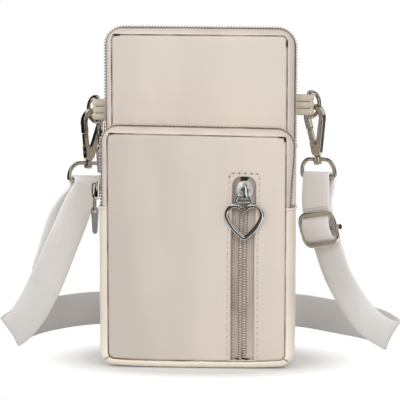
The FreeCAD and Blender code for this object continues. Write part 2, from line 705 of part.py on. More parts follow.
def clip_frame(side):
    """Ring bar and turn of one side, with the placements of its hook and its webbing."""
    left = (LEFT_TAB_REACH, LEFT_TAB_Z, LEFT_HOOK_TILT)
    right = (RIGHT_TAB_REACH, RIGHT_TAB_Z, -RIGHT_HOOK_TILT)
    reach, tab_height, tilt = right if side > 0 else left
    ring_turn = RING_BACK_ANGLE if side > 0 else 180 - RING_BACK_ANGLE
    bar = Vec(side * (REAR_WIDTH / 2 + reach), TAB_Y, tab_height)
    contact_angle = math.radians(RING_CONTACT_ANGLE)
    out = RING_CORNER + RING_HALF_HEIGHT * math.cos(contact_angle)
    drop = RING_HALF_HEIGHT * math.sin(contact_angle)
    turn = math.radians(ring_turn)
    contact = bar + Vec(out * math.cos(turn), out * math.sin(turn), -drop)
    eye_top = HOOK_TOP_CENTRE + HOOK_TOP_RADIUS - HOOK_BAR
    hang = Vec(0, 0, eye_top - RING_WIRE / 2 - HOOK_HANG)
    lean = FreeCAD.Rotation(Vec(0, 1, 0), tilt)
    web_turn = FreeCAD.Rotation(UP, -side * RING_BACK_ANGLE)
    hook_turn = FreeCAD.Rotation(UP, 180 - side * RING_BACK_ANGLE)
    foot = contact - lean.multVec(hang)
    hook = FreeCAD.Placement(foot, lean.multiply(hook_turn))
    web = FreeCAD.Placement(foot, lean.multiply(web_turn))
    return bar, ring_turn, hook, web


def placed(shape, place):
    """Copy of a shape moved by a placement."""
    copy = shape.copy()
    copy.Placement = place.multiply(copy.Placement)
    return copy


def clip_nodes(name, side):
    """Tab, ring, swivel hook and strap loop of one side."""
    bar, ring_turn, hook, web = clip_frame(side)
    reach = abs(bar.x) - REAR_WIDTH / 2
    nodes = {name + "_tab": tab(side, reach, bar.z), name + "_ring": turned(ring(), ring_turn, bar)}
    for part_name, shape in hook_parts().items():
        nodes[name + "_" + part_name] = placed(shape, hook)
    nodes[name + "_strap_loop"] = placed(strap_loop(), web)
    return nodes


def patch(near_start, near_end, far_start, far_end):
    """Face ruled between two straight edges."""
    surface = Part.BezierSurface()
    surface.setPole(1, 1, near_start)
    surface.setPole(1, 2, near_end)
    surface.setPole(2, 1, far_start)
    surface.setPole(2, 2, far_end)
    return surface.toShape()


def ribbon(stations):
    """Webbing through stations of a middle point and a width direction, with its length."""
    points = [Vec(*point) for point, _ in stations]
    last = len(points) - 1
    sections = []
    for index, (_, across_web) in enumerate(stations):
        tangent = points[min(index + 1, last)] - points[max(index - 1, 0)]
        tangent.normalize()
        width = Vec(*across_web)
        width = width - tangent * width.dot(tangent)
        width.normalize()
        w = width * (STRAP_WIDTH / 2)
        t = tangent.cross(width) * (STRAP_THICK / 2)
        p = points[index]
        sections.append([p - w - t, p + w - t, p + w + t, p - w + t])
    faces = [Part.Face(Part.makePolygon(end + end[:1])) for end in (sections[0], sections[-1])]
    for near, far in zip(sections, sections[1:]):
        faces += [patch(near[i - 1], near[i], far[i - 1], far[i]) for i in range(4)]
    skin = Part.makeShell(faces)
    skin.sewShape()
    solid = Part.makeSolid(skin)
    if solid.Volume < 0:
        solid.reverse()
    length = sum((b - a).Length for a, b in zip(points, points[1:]))
    return solid, length


def web_stations(web, points):
    """Stations of webbing from points that lie square to a strap bar."""
    across_web = tuple(web.Rotation.multVec(Vec(1, 0, 0)))
    return [(tuple(web.multVec(point)), across_web) for point in points]


def bar_wrap(web):
    """Stations over the top of a strap bar, with a short straight lead below it on both sides."""
    z = boss_middle() - LOOP_HEIGHT
    points = [Vec(0, WRAP_RADIUS, z - WRAP_LEAD)]
    for step in range(WRAP_STEPS + 1):
        angle = math.pi * step / WRAP_STEPS
        points.append(Vec(0, WRAP_RADIUS * math.cos(angle), z + WRAP_RADIUS * math.sin(angle)))
    points.append(Vec(0, -WRAP_RADIUS, z - WRAP_LEAD))
    return web_stations(web, points)


def back_lead(web):
    """Two stations straight down behind a strap bar, below the end of its wrap."""
    top = boss_middle() - LOOP_HEIGHT - WRAP_LEAD - PLAY
    return web_stations(web, [Vec(0, WRAP_RADIUS, top), Vec(0, WRAP_RADIUS, top - WRAP_LEAD)])


def left_strap_nodes():
    """Left strap: wrapped over its loop and run to the floor, with its sewn-back tail behind."""
    _, _, _, web = clip_frame(-1)
    wrap = bar_wrap(web)
    start_edge = hank_path()[0]
    start = start_edge.valueAt(start_edge.FirstParameter)
    floor_end = [(tuple(start - Vec(x, 0, 0)), (0.0, 0.0, -1.0)) for x in (STRAP_WIDTH / 4, PLAY)]
    run, run_length = ribbon(wrap + LEFT_RUN + floor_end)
    tail, tail_length = ribbon(back_lead(web) + LEFT_TAIL)
    return {"strap_left_run": (run, run_length), "strap_left_tail": (tail, tail_length)}


def hank_path():
    """Middle line of the folded strap: runs along the depth joined by half turns."""
    z = STRAP_MID_Z
    radius = HANK_PITCH / 2
    first_x = -HANK_PITCH * (HANK_RUNS - 1) / 2
    k = math.sqrt(0.5)
    e = HANK_END_ARC
    start = Vec(first_x - e, HANK_BACK + e, z)
    edges = [arc(start, Vec(first_x - e + e * k, HANK_BACK + e * k, z), Vec(first_x, HANK_BACK, z))]
    for index in range(HANK_RUNS):
        x = first_x + index * HANK_PITCH
        forward = index % 2 == 0
        last = index == HANK_RUNS - 1
        back = HANK_EXIT_BACK if last else HANK_BACK
        near = Vec(x, HANK_FRONT, z)
        far = Vec(x, back, z)
        edges.append(line(far, near) if forward else line(near, far))
        if last:
            continue
        turn_y = HANK_FRONT if forward else HANK_BACK
        bulge = -radius if forward else radius
        middle = Vec(x + radius, turn_y + bulge, z)
        edges.append(arc(Vec(x, turn_y, z), middle, Vec(x + HANK_PITCH, turn_y, z)))
    centre = Vec(-first_x + e, HANK_EXIT_BACK, z)
    turns = [math.radians(180 - HANK_END_TURN * share) for share in (0, 0.5, 1)]
    points = [centre + Vec(math.cos(a), math.sin(a), 0) * e for a in turns]
    edges.append(arc(*points))
    return edges


def hank_nodes():
    """Folded strap behind the pouch and the band that holds its runs."""
    edges = hank_path()
    path = Part.Wire(edges)
    start = path.Edges[0].valueAt(path.Edges[0].FirstParameter)
    half_t = STRAP_THICK / 2
    half_w = STRAP_WIDTH / 2
    corners = [
        start + Vec(0, -half_t, -half_w),
        start + Vec(0, half_t, -half_w),
        start + Vec(0, half_t, half_w),
        start + Vec(0, -half_t, half_w),
    ]
    hank = Part.Solid(path.makePipeShell([Part.makePolygon(corners + corners[:1])], True, False))
    half_width = HANK_PITCH * (HANK_RUNS - 1) / 2 + half_t + STRAP_PLAY
    inside = Outline(
        half_width, STRAP_LIFT - STRAP_PLAY, STRAP_LIFT + STRAP_WIDTH + STRAP_PLAY, TIE_CORNER, TIE_CORNER
    )
    front = TIE_Y - TIE_WIDTH / 2
    band = block(inset(inside, -TIE_BAND), front, front + TIE_WIDTH)
    band = band.cut(block(inside, front, front + TIE_WIDTH))
    return {"strap_hank": (hank, path.Length), "hank_tie": (band, 0)}


def hank_gap():
    """Least clear space between two stretches of the folded strap, measured on points."""
    points = Part.Wire(hank_path()).discretize(Distance=2.0)
    reach = int(2 * HANK_PITCH / 2.0)
    least = FAR
    for index, point in enumerate(points):
        for other in points[index + reach:]:
            least = min(least, point.distanceToPoint(other))
    return least - STRAP_THICK


def adjuster_frame_place():
    """Placement of the adjuster on the right strap: X across, Y into it and Z up along it."""
    above = Vec(*RIGHT_RUN[0][0])
    middle = Vec(*RIGHT_RUN[1][0])
    below = Vec(*RIGHT_RUN[2][0])
    up = above - below
    up.normalize()
    wide = Vec(*RIGHT_RUN[1][1])
    wide = wide - up * wide.dot(up)
    wide.normalize()
    return FreeCAD.Placement(middle, FreeCAD.Rotation(wide, up.cross(wide), up, "ZXY"))


def adjuster_nodes(place):
    """Rounded frame with a headed bar through its sides."""
    half_thick = ADJUSTER_THICK / 2
    half_height = ADJUSTER_HEIGHT / 2
    outer = Outline(ADJUSTER_WIDTH / 2, -half_height, half_height, ADJUSTER_CORNER, ADJUSTER_CORNER)
    front = -ADJUSTER_FRONT - half_thick
    back = -ADJUSTER_FRONT + half_thick
    frame = block(outer, front, back).cut(block(inset(outer, ADJUSTER_BAR), front, back))
    left = Vec(-ADJUSTER_WIDTH / 2, -ADJUSTER_FRONT, 0)
    right = Vec(ADJUSTER_WIDTH / 2 + CENTRE_BAR_PLAY, -ADJUSTER_FRONT, 0)
    sideways = Vec(1, 0, 0)
    bar = Part.makeCylinder(CENTRE_BAR / 2, right.x - left.x, left, sideways)
    hole = Part.makeCylinder((CENTRE_BAR + CENTRE_BAR_PLAY) / 2, ADJUSTER_WIDTH, left, sideways)
    head = Part.makeCylinder(CENTRE_BAR_HEAD / 2, CENTRE_BAR_HEAD_LENGTH, right, sideways)
    nodes = {"adjuster_frame": frame.cut(hole), "adjuster_bar": bar.fuse(head)}
    for shape in nodes.values():
        shape.Placement = place
    return nodes


def right_strap_nodes(place):
    """Right strap: running layer to the floor, doubled layer at the loop, bulge over the bar."""
    _, _, _, web = clip_frame(1)
    wrap = bar_wrap(web)
    end_edge = hank_path()[-1]
    end = end_edge.valueAt(end_edge.LastParameter) + end_edge.tangentAt(end_edge.LastParameter) * PLAY
    floor_end = [(tuple(end), (0.0, 0.0, 1.0))]
    run, run_length = ribbon(back_lead(web) + RIGHT_RUN + floor_end)
    wide = tuple(place.Rotation.multVec(Vec(1, 0, 0)))
    profile = [(LAYER_END, LAYER_OFFSET), (BULGE_REACH, LAYER_OFFSET), (BULGE_KNEE, LAYER_OFFSET + PLAY)]
    profile += [(BULGE_SHOULDER, BULGE_SHOULDER_OUT), (0, BULGE_TOP)]
    profile += [(-up, out) for up, out in reversed(profile[:-1])]
    bulge_stations = [(tuple(place.multVec(Vec(0, -out, up))), wide) for up, out in profile]
    bulge, bulge_length = ribbon(bulge_stations)
    layer_low = place.multVec(Vec(0, -LAYER_OFFSET, LAYER_END + PLAY))
    layer_knee = place.multVec(Vec(0, -LAYER_OFFSET, ADJUSTER_HEIGHT / 2 + 2 * STRAP_THICK))
    top, top_length = ribbon(wrap + [(tuple(layer_knee), wide), (tuple(layer_low), wide)])
    return {
        "strap_right_run": (run, run_length),
        "strap_right_top": (top, top_length),
        "strap_bar_bulge": (bulge, bulge_length),
    }


def main():
    nodes = {}
    nodes.update(front_compartment())
    nodes.update(rear_compartment())
    nodes.update(pocket())
    nodes.update(pocket_pull_nodes())
    nodes.update(side_pull_nodes("front", FRONT_ZIP_Y, FRONT_WIDTH / 2, FRONT_SLIDER_Z))
    nodes.update(side_pull_nodes("rear", REAR_ZIP_Y, REAR_WIDTH / 2, REAR_SLIDER_Z))
    nodes.update(clip_nodes("left", -1))
    nodes.update(clip_nodes("right", 1))
    place = adjuster_frame_place()
    nodes.update(adjuster_nodes(place))
    webbing = {}
    webbing.update(left_strap_nodes())
    webbing.update(hank_nodes())
    webbing.update(right_strap_nodes(place))
    for name, (shape, length) in webbing.items():
        nodes[name] = shape
        if length:
            expected = length * STRAP_WIDTH * STRAP_THICK
            print(f"{name}: length {length:.1f}, volume {shape.Volume:.0f} of {expected:.0f}")
    print(f"strap in all {sum(length for _, length in webbing.values()):.0f}")
    print(f"folded strap clear of itself by {hank_gap():.2f}, half turns of radius {HANK_PITCH / 2}")
    os.makedirs("parts", exist_ok=True)
    for name, shape in nodes.items():
        shape.exportStep(f"parts/{name}.step")


main()
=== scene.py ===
import bpy
import json
import math
from mathutils import Matrix, Vector, noise

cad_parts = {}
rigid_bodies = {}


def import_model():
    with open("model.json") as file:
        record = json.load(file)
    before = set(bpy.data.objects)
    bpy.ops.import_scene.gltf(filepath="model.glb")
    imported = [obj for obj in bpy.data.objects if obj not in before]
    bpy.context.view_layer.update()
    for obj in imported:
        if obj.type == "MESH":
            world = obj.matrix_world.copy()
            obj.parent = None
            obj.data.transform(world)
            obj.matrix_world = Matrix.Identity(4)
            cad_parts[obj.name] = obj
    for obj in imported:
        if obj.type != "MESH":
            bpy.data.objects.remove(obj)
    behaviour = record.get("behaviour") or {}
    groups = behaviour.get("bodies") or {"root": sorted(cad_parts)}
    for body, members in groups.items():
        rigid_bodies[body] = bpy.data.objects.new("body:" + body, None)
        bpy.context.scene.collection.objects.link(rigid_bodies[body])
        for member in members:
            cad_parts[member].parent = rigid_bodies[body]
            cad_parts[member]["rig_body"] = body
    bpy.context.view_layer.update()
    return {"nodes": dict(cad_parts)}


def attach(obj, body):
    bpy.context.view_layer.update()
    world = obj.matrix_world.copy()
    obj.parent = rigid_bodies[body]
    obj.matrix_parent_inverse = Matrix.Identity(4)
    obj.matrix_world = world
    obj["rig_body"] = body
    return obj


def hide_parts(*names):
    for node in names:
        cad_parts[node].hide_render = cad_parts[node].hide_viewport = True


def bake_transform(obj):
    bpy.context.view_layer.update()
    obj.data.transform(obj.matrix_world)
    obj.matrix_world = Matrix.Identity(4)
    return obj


# The phone pouch dressed for rendering. Lengths are millimetres until a mesh is made.
# +X is the right side seen from the front, the front faces -Y and +Z is up.
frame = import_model()
MM = 0.001

# Compartments
HALF = 52.5
FACE = {"front": -25.0, "rear": -1.0}
BACK_FACE = 25.0
HEIGHT = {"front": 130.5, "rear": 182.8}
TOP_CORNER = 10.5
LOW_CORNER = 6.6
BASE_SMILE = 1.7

# Drop of a compartment's top on the right, and the heights between which it sets in
SLUMP = {"front": (0.9, 98.0, 126.0), "rear": (0.4, 140.0, 175.0)}

# Panels
SEAM_SIDE = 4.8
SEAM_TOP = 4.2
SEAM_LOW = 4.4
PANEL_HALF = HALF - SEAM_SIDE
PANEL_TOP = {prefix: height - SEAM_TOP for prefix, height in HEIGHT.items()}
PANEL_CORNER = 3.2
PANEL_THICK = 0.9
FRONT_CROWN = 2.3
DIVIDER_CROWN = 1.2
BACK_CROWN = 1.4
EDGE_STEPS = (0.0, 0.12, 0.35, 0.7, 1.2, 1.9, 3.0, 4.6)

# Zips, with the inward pull at the lower end of the right side
ZIP_END = {"front": 87.0, "rear": 118.0}
ZIP_BACK = 12.0
ZIP_PINCH = {"front": 1.9, "rear": 0.0}
ZIP_PINCH_RISE = 34.0
TOOTH_PITCH = 1.6
TOOTH_HALF = (0.54, 1.2, 0.72)
TAPE_THICK = 0.6
BAND_THICK = 1.0

# Sections of the zip tape and the cloth band: depth behind the face and share of the way to the seam
TAPE_RISE = (
    (1.9, 1.2), (0.8, 1.12), (0.15, 1.0), (0.3, 0.88), (0.8, 0.74), (1.8, 0.6), (3.4, 0.46), (5.6, 0.34),
    (8.0, 0.26),
)
TAPE_EDGE = 10.2
TAPE_EDGE_SHARE = 0.2
BAND_RISE = (
    (1.9, 1.2), (0.8, 1.12), (0.15, 1.0), (0.12, 0.86), (0.45, 0.65), (1.1, 0.44), (2.1, 0.25), (3.4, 0.11),
    (5.0, 0.03),
)

# Steps along a side, round a corner and along the top or base of an outline
SIDE_STEPS = 44
CORNER_STEPS = 12
LEVEL_STEPS = 60

# Pocket
POCKET_X = 24.6
POCKET_LEAN = 1.0
POCKET_LOW = 5.6
POCKET_HIGH = 107.4
POCKET_PLANE = -23.0
POCKET_PITCH = 1.34
POCKET_TOOTH_HALF = (0.95, 0.62, 0.5)
POCKET_TAPE_THICK = 0.7
WINDOW_HALF = 6.1
WINDOW_TOP = 104.3
WINDOW_CORNER = 5.0
STITCH_OFFSET = 1.95
STITCH_CORNER = 1.8

# Stitches: pitch, length and radius
WINDOW_STITCH = (3.2, 2.3, 0.32)
STRAP_STITCH = (2.0, 1.5, 0.25)
TAB_STITCH = (1.5, 1.5, 0.3)

# Radii of the painted shade lines in the seams, zip grooves and base creases, and of hems
SEAM_RADIUS = 0.42
GROOVE_RADIUS = 0.3
CREASE_RADIUS = 0.26
HEM_RADIUS = 0.75

# Pocket bag and linings: middle and half width, front and back
BAG_WIDTH = (-1.0, 36.8)
BAG_DEPTH = (-21.85, -19.5)
BAG_LOW = 5.4
LINING_WIDTH = (0.0, 49.9)
LINING_DEPTH = {"front": (-18.9, -3.6), "rear": (1.6, 22.4)}
LINING_LOW = 2.6
LINING_DROP = 0.6

# Sliders
POCKET_SLIDER_Z = 97.0
POCKET_SLIDER_TURN = 7.0
POCKET_CROWN = 3.7
SLIDER_Z = {"front": 95.4, "rear": 126.0}
SIDE_CROWN = 2.5
SLIDER_HALF = 5.2
SLIDER_PLATE_BACK = 1.0
SLIDER_SLOPE = 0.9

# Heart with its bail and jump ring
HEART_PLACE = (25.6, -27.35, 84.3)
HEART_TURN = -3.0
HEART_WIRE = (1.2, 0.92)
HEART_LOBE = 4.9
HEART_LOBE_X = 4.55
HEART_TIP_DROP = 11.2
HEART_TIP = 1.2
HEART_NOTCH = 0.9
HEART_BOW = 0.75
BAIL_PLACE = (25.3, -27.35)
BAIL_TOP = 94.5
BAIL_LOW = 90.7
BAIL_WIRE = 0.85
RING_LOW = 85.6
RING_DEPTH = 1.6
RING_WIRE = 0.5

# Strap adjuster
ADJUSTER_WIDTH = 27.0
ADJUSTER_HEIGHT = 20.5
ADJUSTER_WIRE = 2.3
ADJUSTER_CORNER = 5.0
ADJUSTER_FRONT = 3.5

# Tabs, each folded round a bar at X and Z
TAB_Y = 18.6
TAB_HEIGHT = 11.4
TAB_THICK = 1.2
TAB_RIB = 3.8
TAB_REACH = 1.95
TAB_BAR = {"left": (-57.7, 137.0), "right": (59.4, 140.0)}

# Strap
STRAP_WIDTH = 20.0
STRAP_THICK = 1.3
WRAP_RADIUS = 2.1
WRAP_LEAD = 2.5
LEFT_BAR = (-64.62, 21.92, 96.68)
RIGHT_BAR = (65.13, 21.92, 99.57)
LEFT_TILT = 6.0
RIGHT_TILT = -4.0
LAYER_OUT = 1.5
LAYER_LOW = 9.1
LAYER_KNEE = 12.85
STRAP_MID_Z = 10.8
HANK_RUNS = 12
HANK_PITCH = 8.0
HANK_FRONT = 43.0
HANK_BACK = 92.0
HANK_EXIT_BACK = 88.0
HANK_END_ARC = 8.0
TIE_Y = 66.0
TIE_WIDTH = 5.0
TIE_HALF = 45.1
TIE_LOW = 0.6
TIE_HIGH = 21.3
TIE_CORNER = 6.0

# Routes of the strap: middle points with the direction of its width
LEFT_RUN = [
    ((-69.0, 20.3, 84.0), (0.80, 0.60, -0.03)),
    ((-73.6, 20.5, 72.5), (0.82, 0.55, -0.12)),
    ((-79.8, 20.7, 58.5), (0.84, 0.48, -0.24)),
    ((-86.0, 20.9, 43.5), (0.84, 0.38, -0.37)),
    ((-92.9, 21.3, 28.5), (0.79, 0.33, -0.52)),
    ((-100.3, 21.8, 17.0), (0.68, 0.33, -0.66)),
    ((-106.6, 22.4, 11.0), (0.55, 0.34, -0.76)),
    ((-109.2, 23.8, 9.8), (0.46, 0.33, -0.82)),
    ((-109.4, 27.6, 9.9), (0.40, 0.29, -0.87)),
    ((-107.4, 41.0, 10.4), (0.26, 0.12, -0.96)),
    ((-102.4, 59.0, 10.8), (0.14, -0.02, -0.99)),
    ((-93.0, 75.5, 10.9), (0.06, -0.08, -0.99)),
    ((-79.5, 90.0, 10.9), (0.02, -0.06, -1.0)),
    ((-66.5, 97.6, 10.8), (0.0, -0.03, -1.0)),
]
LEFT_TAIL = [
    ((-74.5, 27.2, 83.0), (0.80, 0.60, -0.05)),
    ((-79.5, 28.6, 72.5), (0.82, 0.55, -0.12)),
    ((-83.0, 27.2, 59.0), (0.84, 0.48, -0.24)),
    ((-87.2, 22.9, 43.3), (0.84, 0.38, -0.37)),
]
RIGHT_RUN = [
    ((64.2, 23.4, 85.0), (0.76, -0.65, 0.05)),
    ((67.6, 23.5, 71.0), (0.76, -0.64, 0.08)),
    ((71.6, 23.6, 57.0), (0.76, -0.63, 0.12)),
    ((75.8, 23.4, 44.5), (0.74, -0.64, 0.20)),
    ((83.0, 23.6, 31.5), (0.70, -0.60, 0.38)),
    ((91.0, 24.0, 20.3), (0.64, -0.52, 0.56)),
    ((99.0, 24.8, 13.4), (0.55, -0.45, 0.70)),
    ((105.0, 25.4, 10.4), (0.47, -0.41, 0.78)),
    ((107.0, 27.0, 9.9), (0.42, -0.36, 0.83)),
    ((107.0, 31.0, 10.0), (0.36, -0.28, 0.89)),
    ((103.8, 42.0, 10.5), (0.22, -0.12, 0.97)),
    ((97.6, 54.0, 10.9), (0.10, 0.0, 0.99)),
    ((87.5, 66.5, 10.9), (0.04, 0.04, 1.0)),
    ((73.0, 79.5, 10.8), (0.0, 0.0, 1.0)),
    ((58.2, 94.0, 10.8), (0.0, 0.0, 1.0)),
]

# Camera, fitted to the photograph's view, in metres and degrees
CAMERA_PLACE = (0.0595, -0.9387, 0.2)
CAMERA_PITCH = 6.74
CAMERA_YAW = 3.6
CAMERA_LENS = 156.0

# Lamps, in metres and watts: name, place, size and power
LAMPS = (("key", (0.45, -1.6, 1.15), 0.9, 11.1), ("fill", (-0.9, -1.4, 0.6), 1.2, 7.0))
LAMP_AIM = Vector((0, 0, 0.09))
WORLD_LIGHT = 0.62

# Surroundings that polished metal shows: light levels towards the bright direction, and walls by depth
STUDIO_SIDE = (0.72, 0.0, 0.69)
STUDIO_LEVELS = (
    (0.0, 0.015), (0.4, 0.015), (0.49, 0.03), (0.53, 0.5), (0.555, 1.0), (0.68, 1.0), (0.71, 0.14),
    (0.91, 0.07), (0.95, 0.8),
)
STUDIO_WALLS = ((0.75, 0.94, 1.0), (-0.93, -0.985, 0.2))

# Oval floor in metres, with a glow that sets in away from the pouch; the weaker glow close to it paints a
# shadow round the pouch
FLOOR_HALF = (0.24, 0.11)
FLOOR_BACK = 0.05
GLOW_SQUEEZE = 0.56
GLOW_REACH = (0.034, 0.06)
GLOW_LEVELS = (0.06, 0.66)

UP = Vector((0, 0, 1))
SIDEWAYS = Vector((1, 0, 0))
FORWARD = Vector((0, -1, 0))
scene = bpy.context.scene
scene.view_settings.view_transform = "Standard"


# Materials

TONE_SPREAD = 0.16


def paint(red, green, blue):
    """Linear colour of screen values from 0 to 255."""
    linear = []
    for value in (red, green, blue):
        share = value / 255
        linear.append(share / 12.92 if share < 0.04045 else ((share + 0.055) / 1.055) ** 2.4)
    return (*linear, 1.0)


def start_material(name):
    """New material with its node tree and its shader."""
    material = bpy.data.materials.new(name)
    material.use_nodes = True
    tree = material.node_tree
    return material, tree, tree.nodes["Principled BSDF"]


def feed(tree, node, *values, **inputs):
    """Set a node's inputs, in order or by name. A value is a number, a colour or a socket to link."""
    pairs = list(zip(node.inputs, values))
    pairs += [(node.inputs[key.replace("_", " ")], value) for key, value in inputs.items()]
    for socket, value in pairs:
        if isinstance(value, bpy.types.NodeSocket):
            tree.links.new(value, socket)
        else:
            socket.default_value = value


def add(tree, kind, *values, operation=None, **inputs):
    """New shader node with its inputs."""
    node = tree.nodes.new("ShaderNode" + kind)
    if operation:
        node.operation = operation
    feed(tree, node, *values, **inputs)
    return node


def ramp(tree, value, *stops):
    """Colour along a value, from stops of a position and a colour."""
    node = add(tree, "ValToRGB", Fac=value)
    elements = node.color_ramp.elements
    for index, (position, colour) in enumerate(stops):
        stop = elements[index] if index < 2 else elements.new(position)
        stop.position = position
        stop.color = colour
    return node.outputs["Color"]


def cloth(name, light, dark, roughness=0.55, sheen=0.15, weave=700.0, depth=0.2, blotch=12.0, stretch=1.0,
          painted_shade_drift=(0.0, 0.0, 0.0), balance=0.5, patches=1.0):
    """Woven cloth: soft blotches of two tones, with painted light and shade that may grade across it, a fine
    weave and slow wrinkles.
    """
    material, tree, shader = start_material(name)
    place = add(tree, "TexCoord").outputs["Object"]
    tall = add(tree, "Mapping", Vector=place, Scale=(1.0, 1.0, stretch)).outputs["Vector"]
    tone = add(tree, "TexNoise", Vector=tall, Scale=blotch, Detail=3.0, Roughness=0.55).outputs["Fac"]
    faint = add(tree, "MapRange", Value=tone, To_Min=0.5 - patches / 2, To_Max=0.5 + patches / 2)
    # Painted light and shade: the tone grades along a direction in space, standing in for light that falls
    # unevenly
    slope = add(tree, "VectorMath", place, painted_shade_drift, operation="DOT_PRODUCT")
    shade = add(tree, "Math", faint.outputs["Result"], slope.outputs["Value"], operation="ADD")
    stops = (balance - TONE_SPREAD, paint(*dark)), (balance + TONE_SPREAD, paint(*light))
    colour = ramp(tree, shade.outputs["Value"], *stops)
    threads = []
    for axis in ("X", "Z"):
        wave = add(tree, "TexWave", Vector=place, Scale=weave, Distortion=0.6, Detail=1.0)
        wave.bands_direction = axis
        threads.append(wave.outputs["Fac"])
    cross = add(tree, "Math", *threads, operation="ADD").outputs["Value"]
    fine = add(tree, "Bump", Strength=depth, Distance=0.0001, Height=cross).outputs["Normal"]
    crease = add(tree, "TexNoise", Vector=tall, Scale=70.0, Detail=2.0, Roughness=0.5).outputs["Fac"]
    slow = add(tree, "Bump", Strength=0.12, Distance=0.002, Height=crease, Normal=fine).outputs["Normal"]
    feed(tree, shader, Base_Color=colour, Normal=slow, Roughness=roughness, Sheen_Weight=sheen,
         Sheen_Roughness=0.4, Specular_IOR_Level=0.3)
    return material


def metal(name, light, dark, roughness, polish=1.0):
    """Plated metal with faint smears in its colour and gloss."""
    material, tree, shader = start_material(name)
    place = add(tree, "TexCoord").outputs["Object"]
    smear = add(tree, "TexNoise", Vector=place, Scale=260.0, Detail=4.0, Roughness=0.6).outputs["Fac"]
    gloss = add(tree, "MapRange", Value=smear, To_Min=roughness * 0.7, To_Max=roughness * 1.3)
    colour = ramp(tree, smear, (0.0, paint(*dark)), (1.0, paint(*light)))
    feed(tree, shader, Base_Color=colour, Roughness=gloss.outputs["Result"], Metallic=polish)
    return material


# Kinds of weave
COARSE = {"roughness": 0.7, "sheen": 0.2, "weave": 420.0, "depth": 0.5, "blotch": 40.0}
COILED = {"roughness": 0.42, "sheen": 0.0, "weave": 900.0, "depth": 0.1, "blotch": 120.0}
SEWN = {"roughness": 0.6, "sheen": 0.2, "weave": 900.0, "depth": 0.2, "blotch": 90.0}
SUNKEN = {"roughness": 0.8, "sheen": 0.0, "weave": 900.0, "depth": 0.2, "blotch": 90.0}

# Cloths and metals, each with its light and its dark tone
# Painted shade: the upper and back panels darken towards the left
BEIGE = cloth("beige_nylon", (230, 219, 208), (214, 203, 193), roughness=0.5, blotch=16.0, stretch=0.3,
              painted_shade_drift=(1.2, 0.0, 0.0))
# Painted shade: the front panel darkens towards the left and towards its base
FRONT_BEIGE = cloth("front_nylon", (225, 213, 201), (203, 192, 182), roughness=0.5, blotch=14.0, stretch=0.3,
                    painted_shade_drift=(1.6, 0.0, 1.5), balance=0.61)
# Painted light: the cream bands lighten towards the base, whose lower half faces down and gets less light
CREAM = cloth("cream_nylon", (251, 240, 223), (235, 223, 208), blotch=20.0, stretch=0.3,
              painted_shade_drift=(0.0, 0.0, -12.0), balance=0.3, patches=0.6)
TAPE = cloth("zip_tape", (234, 220, 210), (222, 208, 198), **COARSE)
# Painted shade: the pocket tape darkens towards the left edge of the window
POCKET_TAPE = cloth("pocket_tape", (206, 193, 184), (158, 143, 131), **COARSE, painted_shade_drift=(14.0, 0.0, 0.0),
                    balance=0.85, patches=0.5)
COIL = cloth("zip_coil", (222, 209, 199), (206, 192, 181), **COILED)
POCKET_COIL = cloth("pocket_coil", (214, 203, 193), (196, 184, 173), **COILED)
# Painted shade: dark cloth for the shade deep in a zip, between and beneath its teeth
GAP_SHADE = cloth("zip_gap_shade", (96, 84, 75), (76, 66, 59), roughness=0.8, sheen=0.0, weave=420.0, depth=0.3,
            blotch=60.0)
LINING = cloth("lining_cloth", (208, 198, 186), (192, 181, 169), roughness=0.75, sheen=0.1, weave=600.0,
               depth=0.3, blotch=20.0)
# Painted light and shade: the webbing is lighter higher up and to the right, darker low down and to the left
WEBBING = cloth("webbing", (251, 249, 247), (208, 204, 201), roughness=0.6, sheen=0.2, weave=500.0,
                depth=0.5, blotch=18.0, painted_shade_drift=(0.6, 0.0, 3.0), balance=0.58, patches=0.35)
STRAP_THREAD = cloth("strap_thread", (206, 202, 198), (190, 186, 182), **SEWN)
BAND = cloth("band", (206, 200, 194), (190, 184, 178), roughness=0.7, sheen=0.1, weave=520.0, depth=0.6,
             blotch=40.0)
TAB = cloth("tab_cloth", (223, 212, 194), (208, 196, 177), roughness=0.65, sheen=0.2, weave=520.0, depth=0.5,
            blotch=60.0)
THREAD = cloth("thread", (228, 218, 206), (212, 200, 187), **SEWN)
# Dark thread for the tab's stitch rows, which also paints the shade in its rib grooves, and painted shade in
# the base creases
THREAD_AND_SHADE = cloth("thread_and_shade", (146, 129, 115), (118, 103, 91), **SUNKEN)
# Painted shade in the seam groove round each panel
SEAM_SHADE_LINE = cloth("seam_shade_line", (186, 170, 156), (112, 97, 85), **(SUNKEN | {"blotch": 70.0}))
# Painted shade for the groove between zip tape and teeth, and inside the needle holes
GROOVE_SHADE = cloth("zip_groove_shade", (152, 137, 126), (132, 118, 108), **SUNKEN)
# Painted shade: dark beads put where folds and openings lie in shade
PAINTED_SHADE = cloth("deep_fold_shade", (66, 56, 49), (48, 41, 36), **(SUNKEN | {"roughness": 0.9}))
SILVER = metal("silver_metal", (240, 240, 238), (228, 228, 226), 0.07)
SATIN = metal("satin_metal", (252, 252, 250), (242, 242, 240), 0.34)
PALE_SATIN = metal("pale_satin_metal", (252, 252, 250), (242, 242, 240), 0.3, polish=0.6)
NICKEL = metal("dark_nickel", (218, 211, 200), (198, 191, 179), 0.05)
PEWTER = metal("pewter", (222, 216, 205), (204, 197, 185), 0.06)


# Mesh helpers

def make(name, verts, faces, material, place=None):
    """Smooth mesh object from millimetre points, moved by a placement if one is given."""
    points = [Vector(v) for v in verts]
    if place:
        points = [place @ point for point in points]
    mesh = bpy.data.meshes.new(name)
    mesh.from_pydata([point * MM for point in points], [], faces)
    mesh.materials.append(material)
    smooth(mesh)
    piece = bpy.data.objects.new(name, mesh)
    scene.collection.objects.link(piece)
    return piece


def smooth(mesh):
    """Shade all faces of a mesh smoothly."""
    mesh.polygons.foreach_set("use_smooth", [True] * len(mesh.polygons))
    mesh.update()


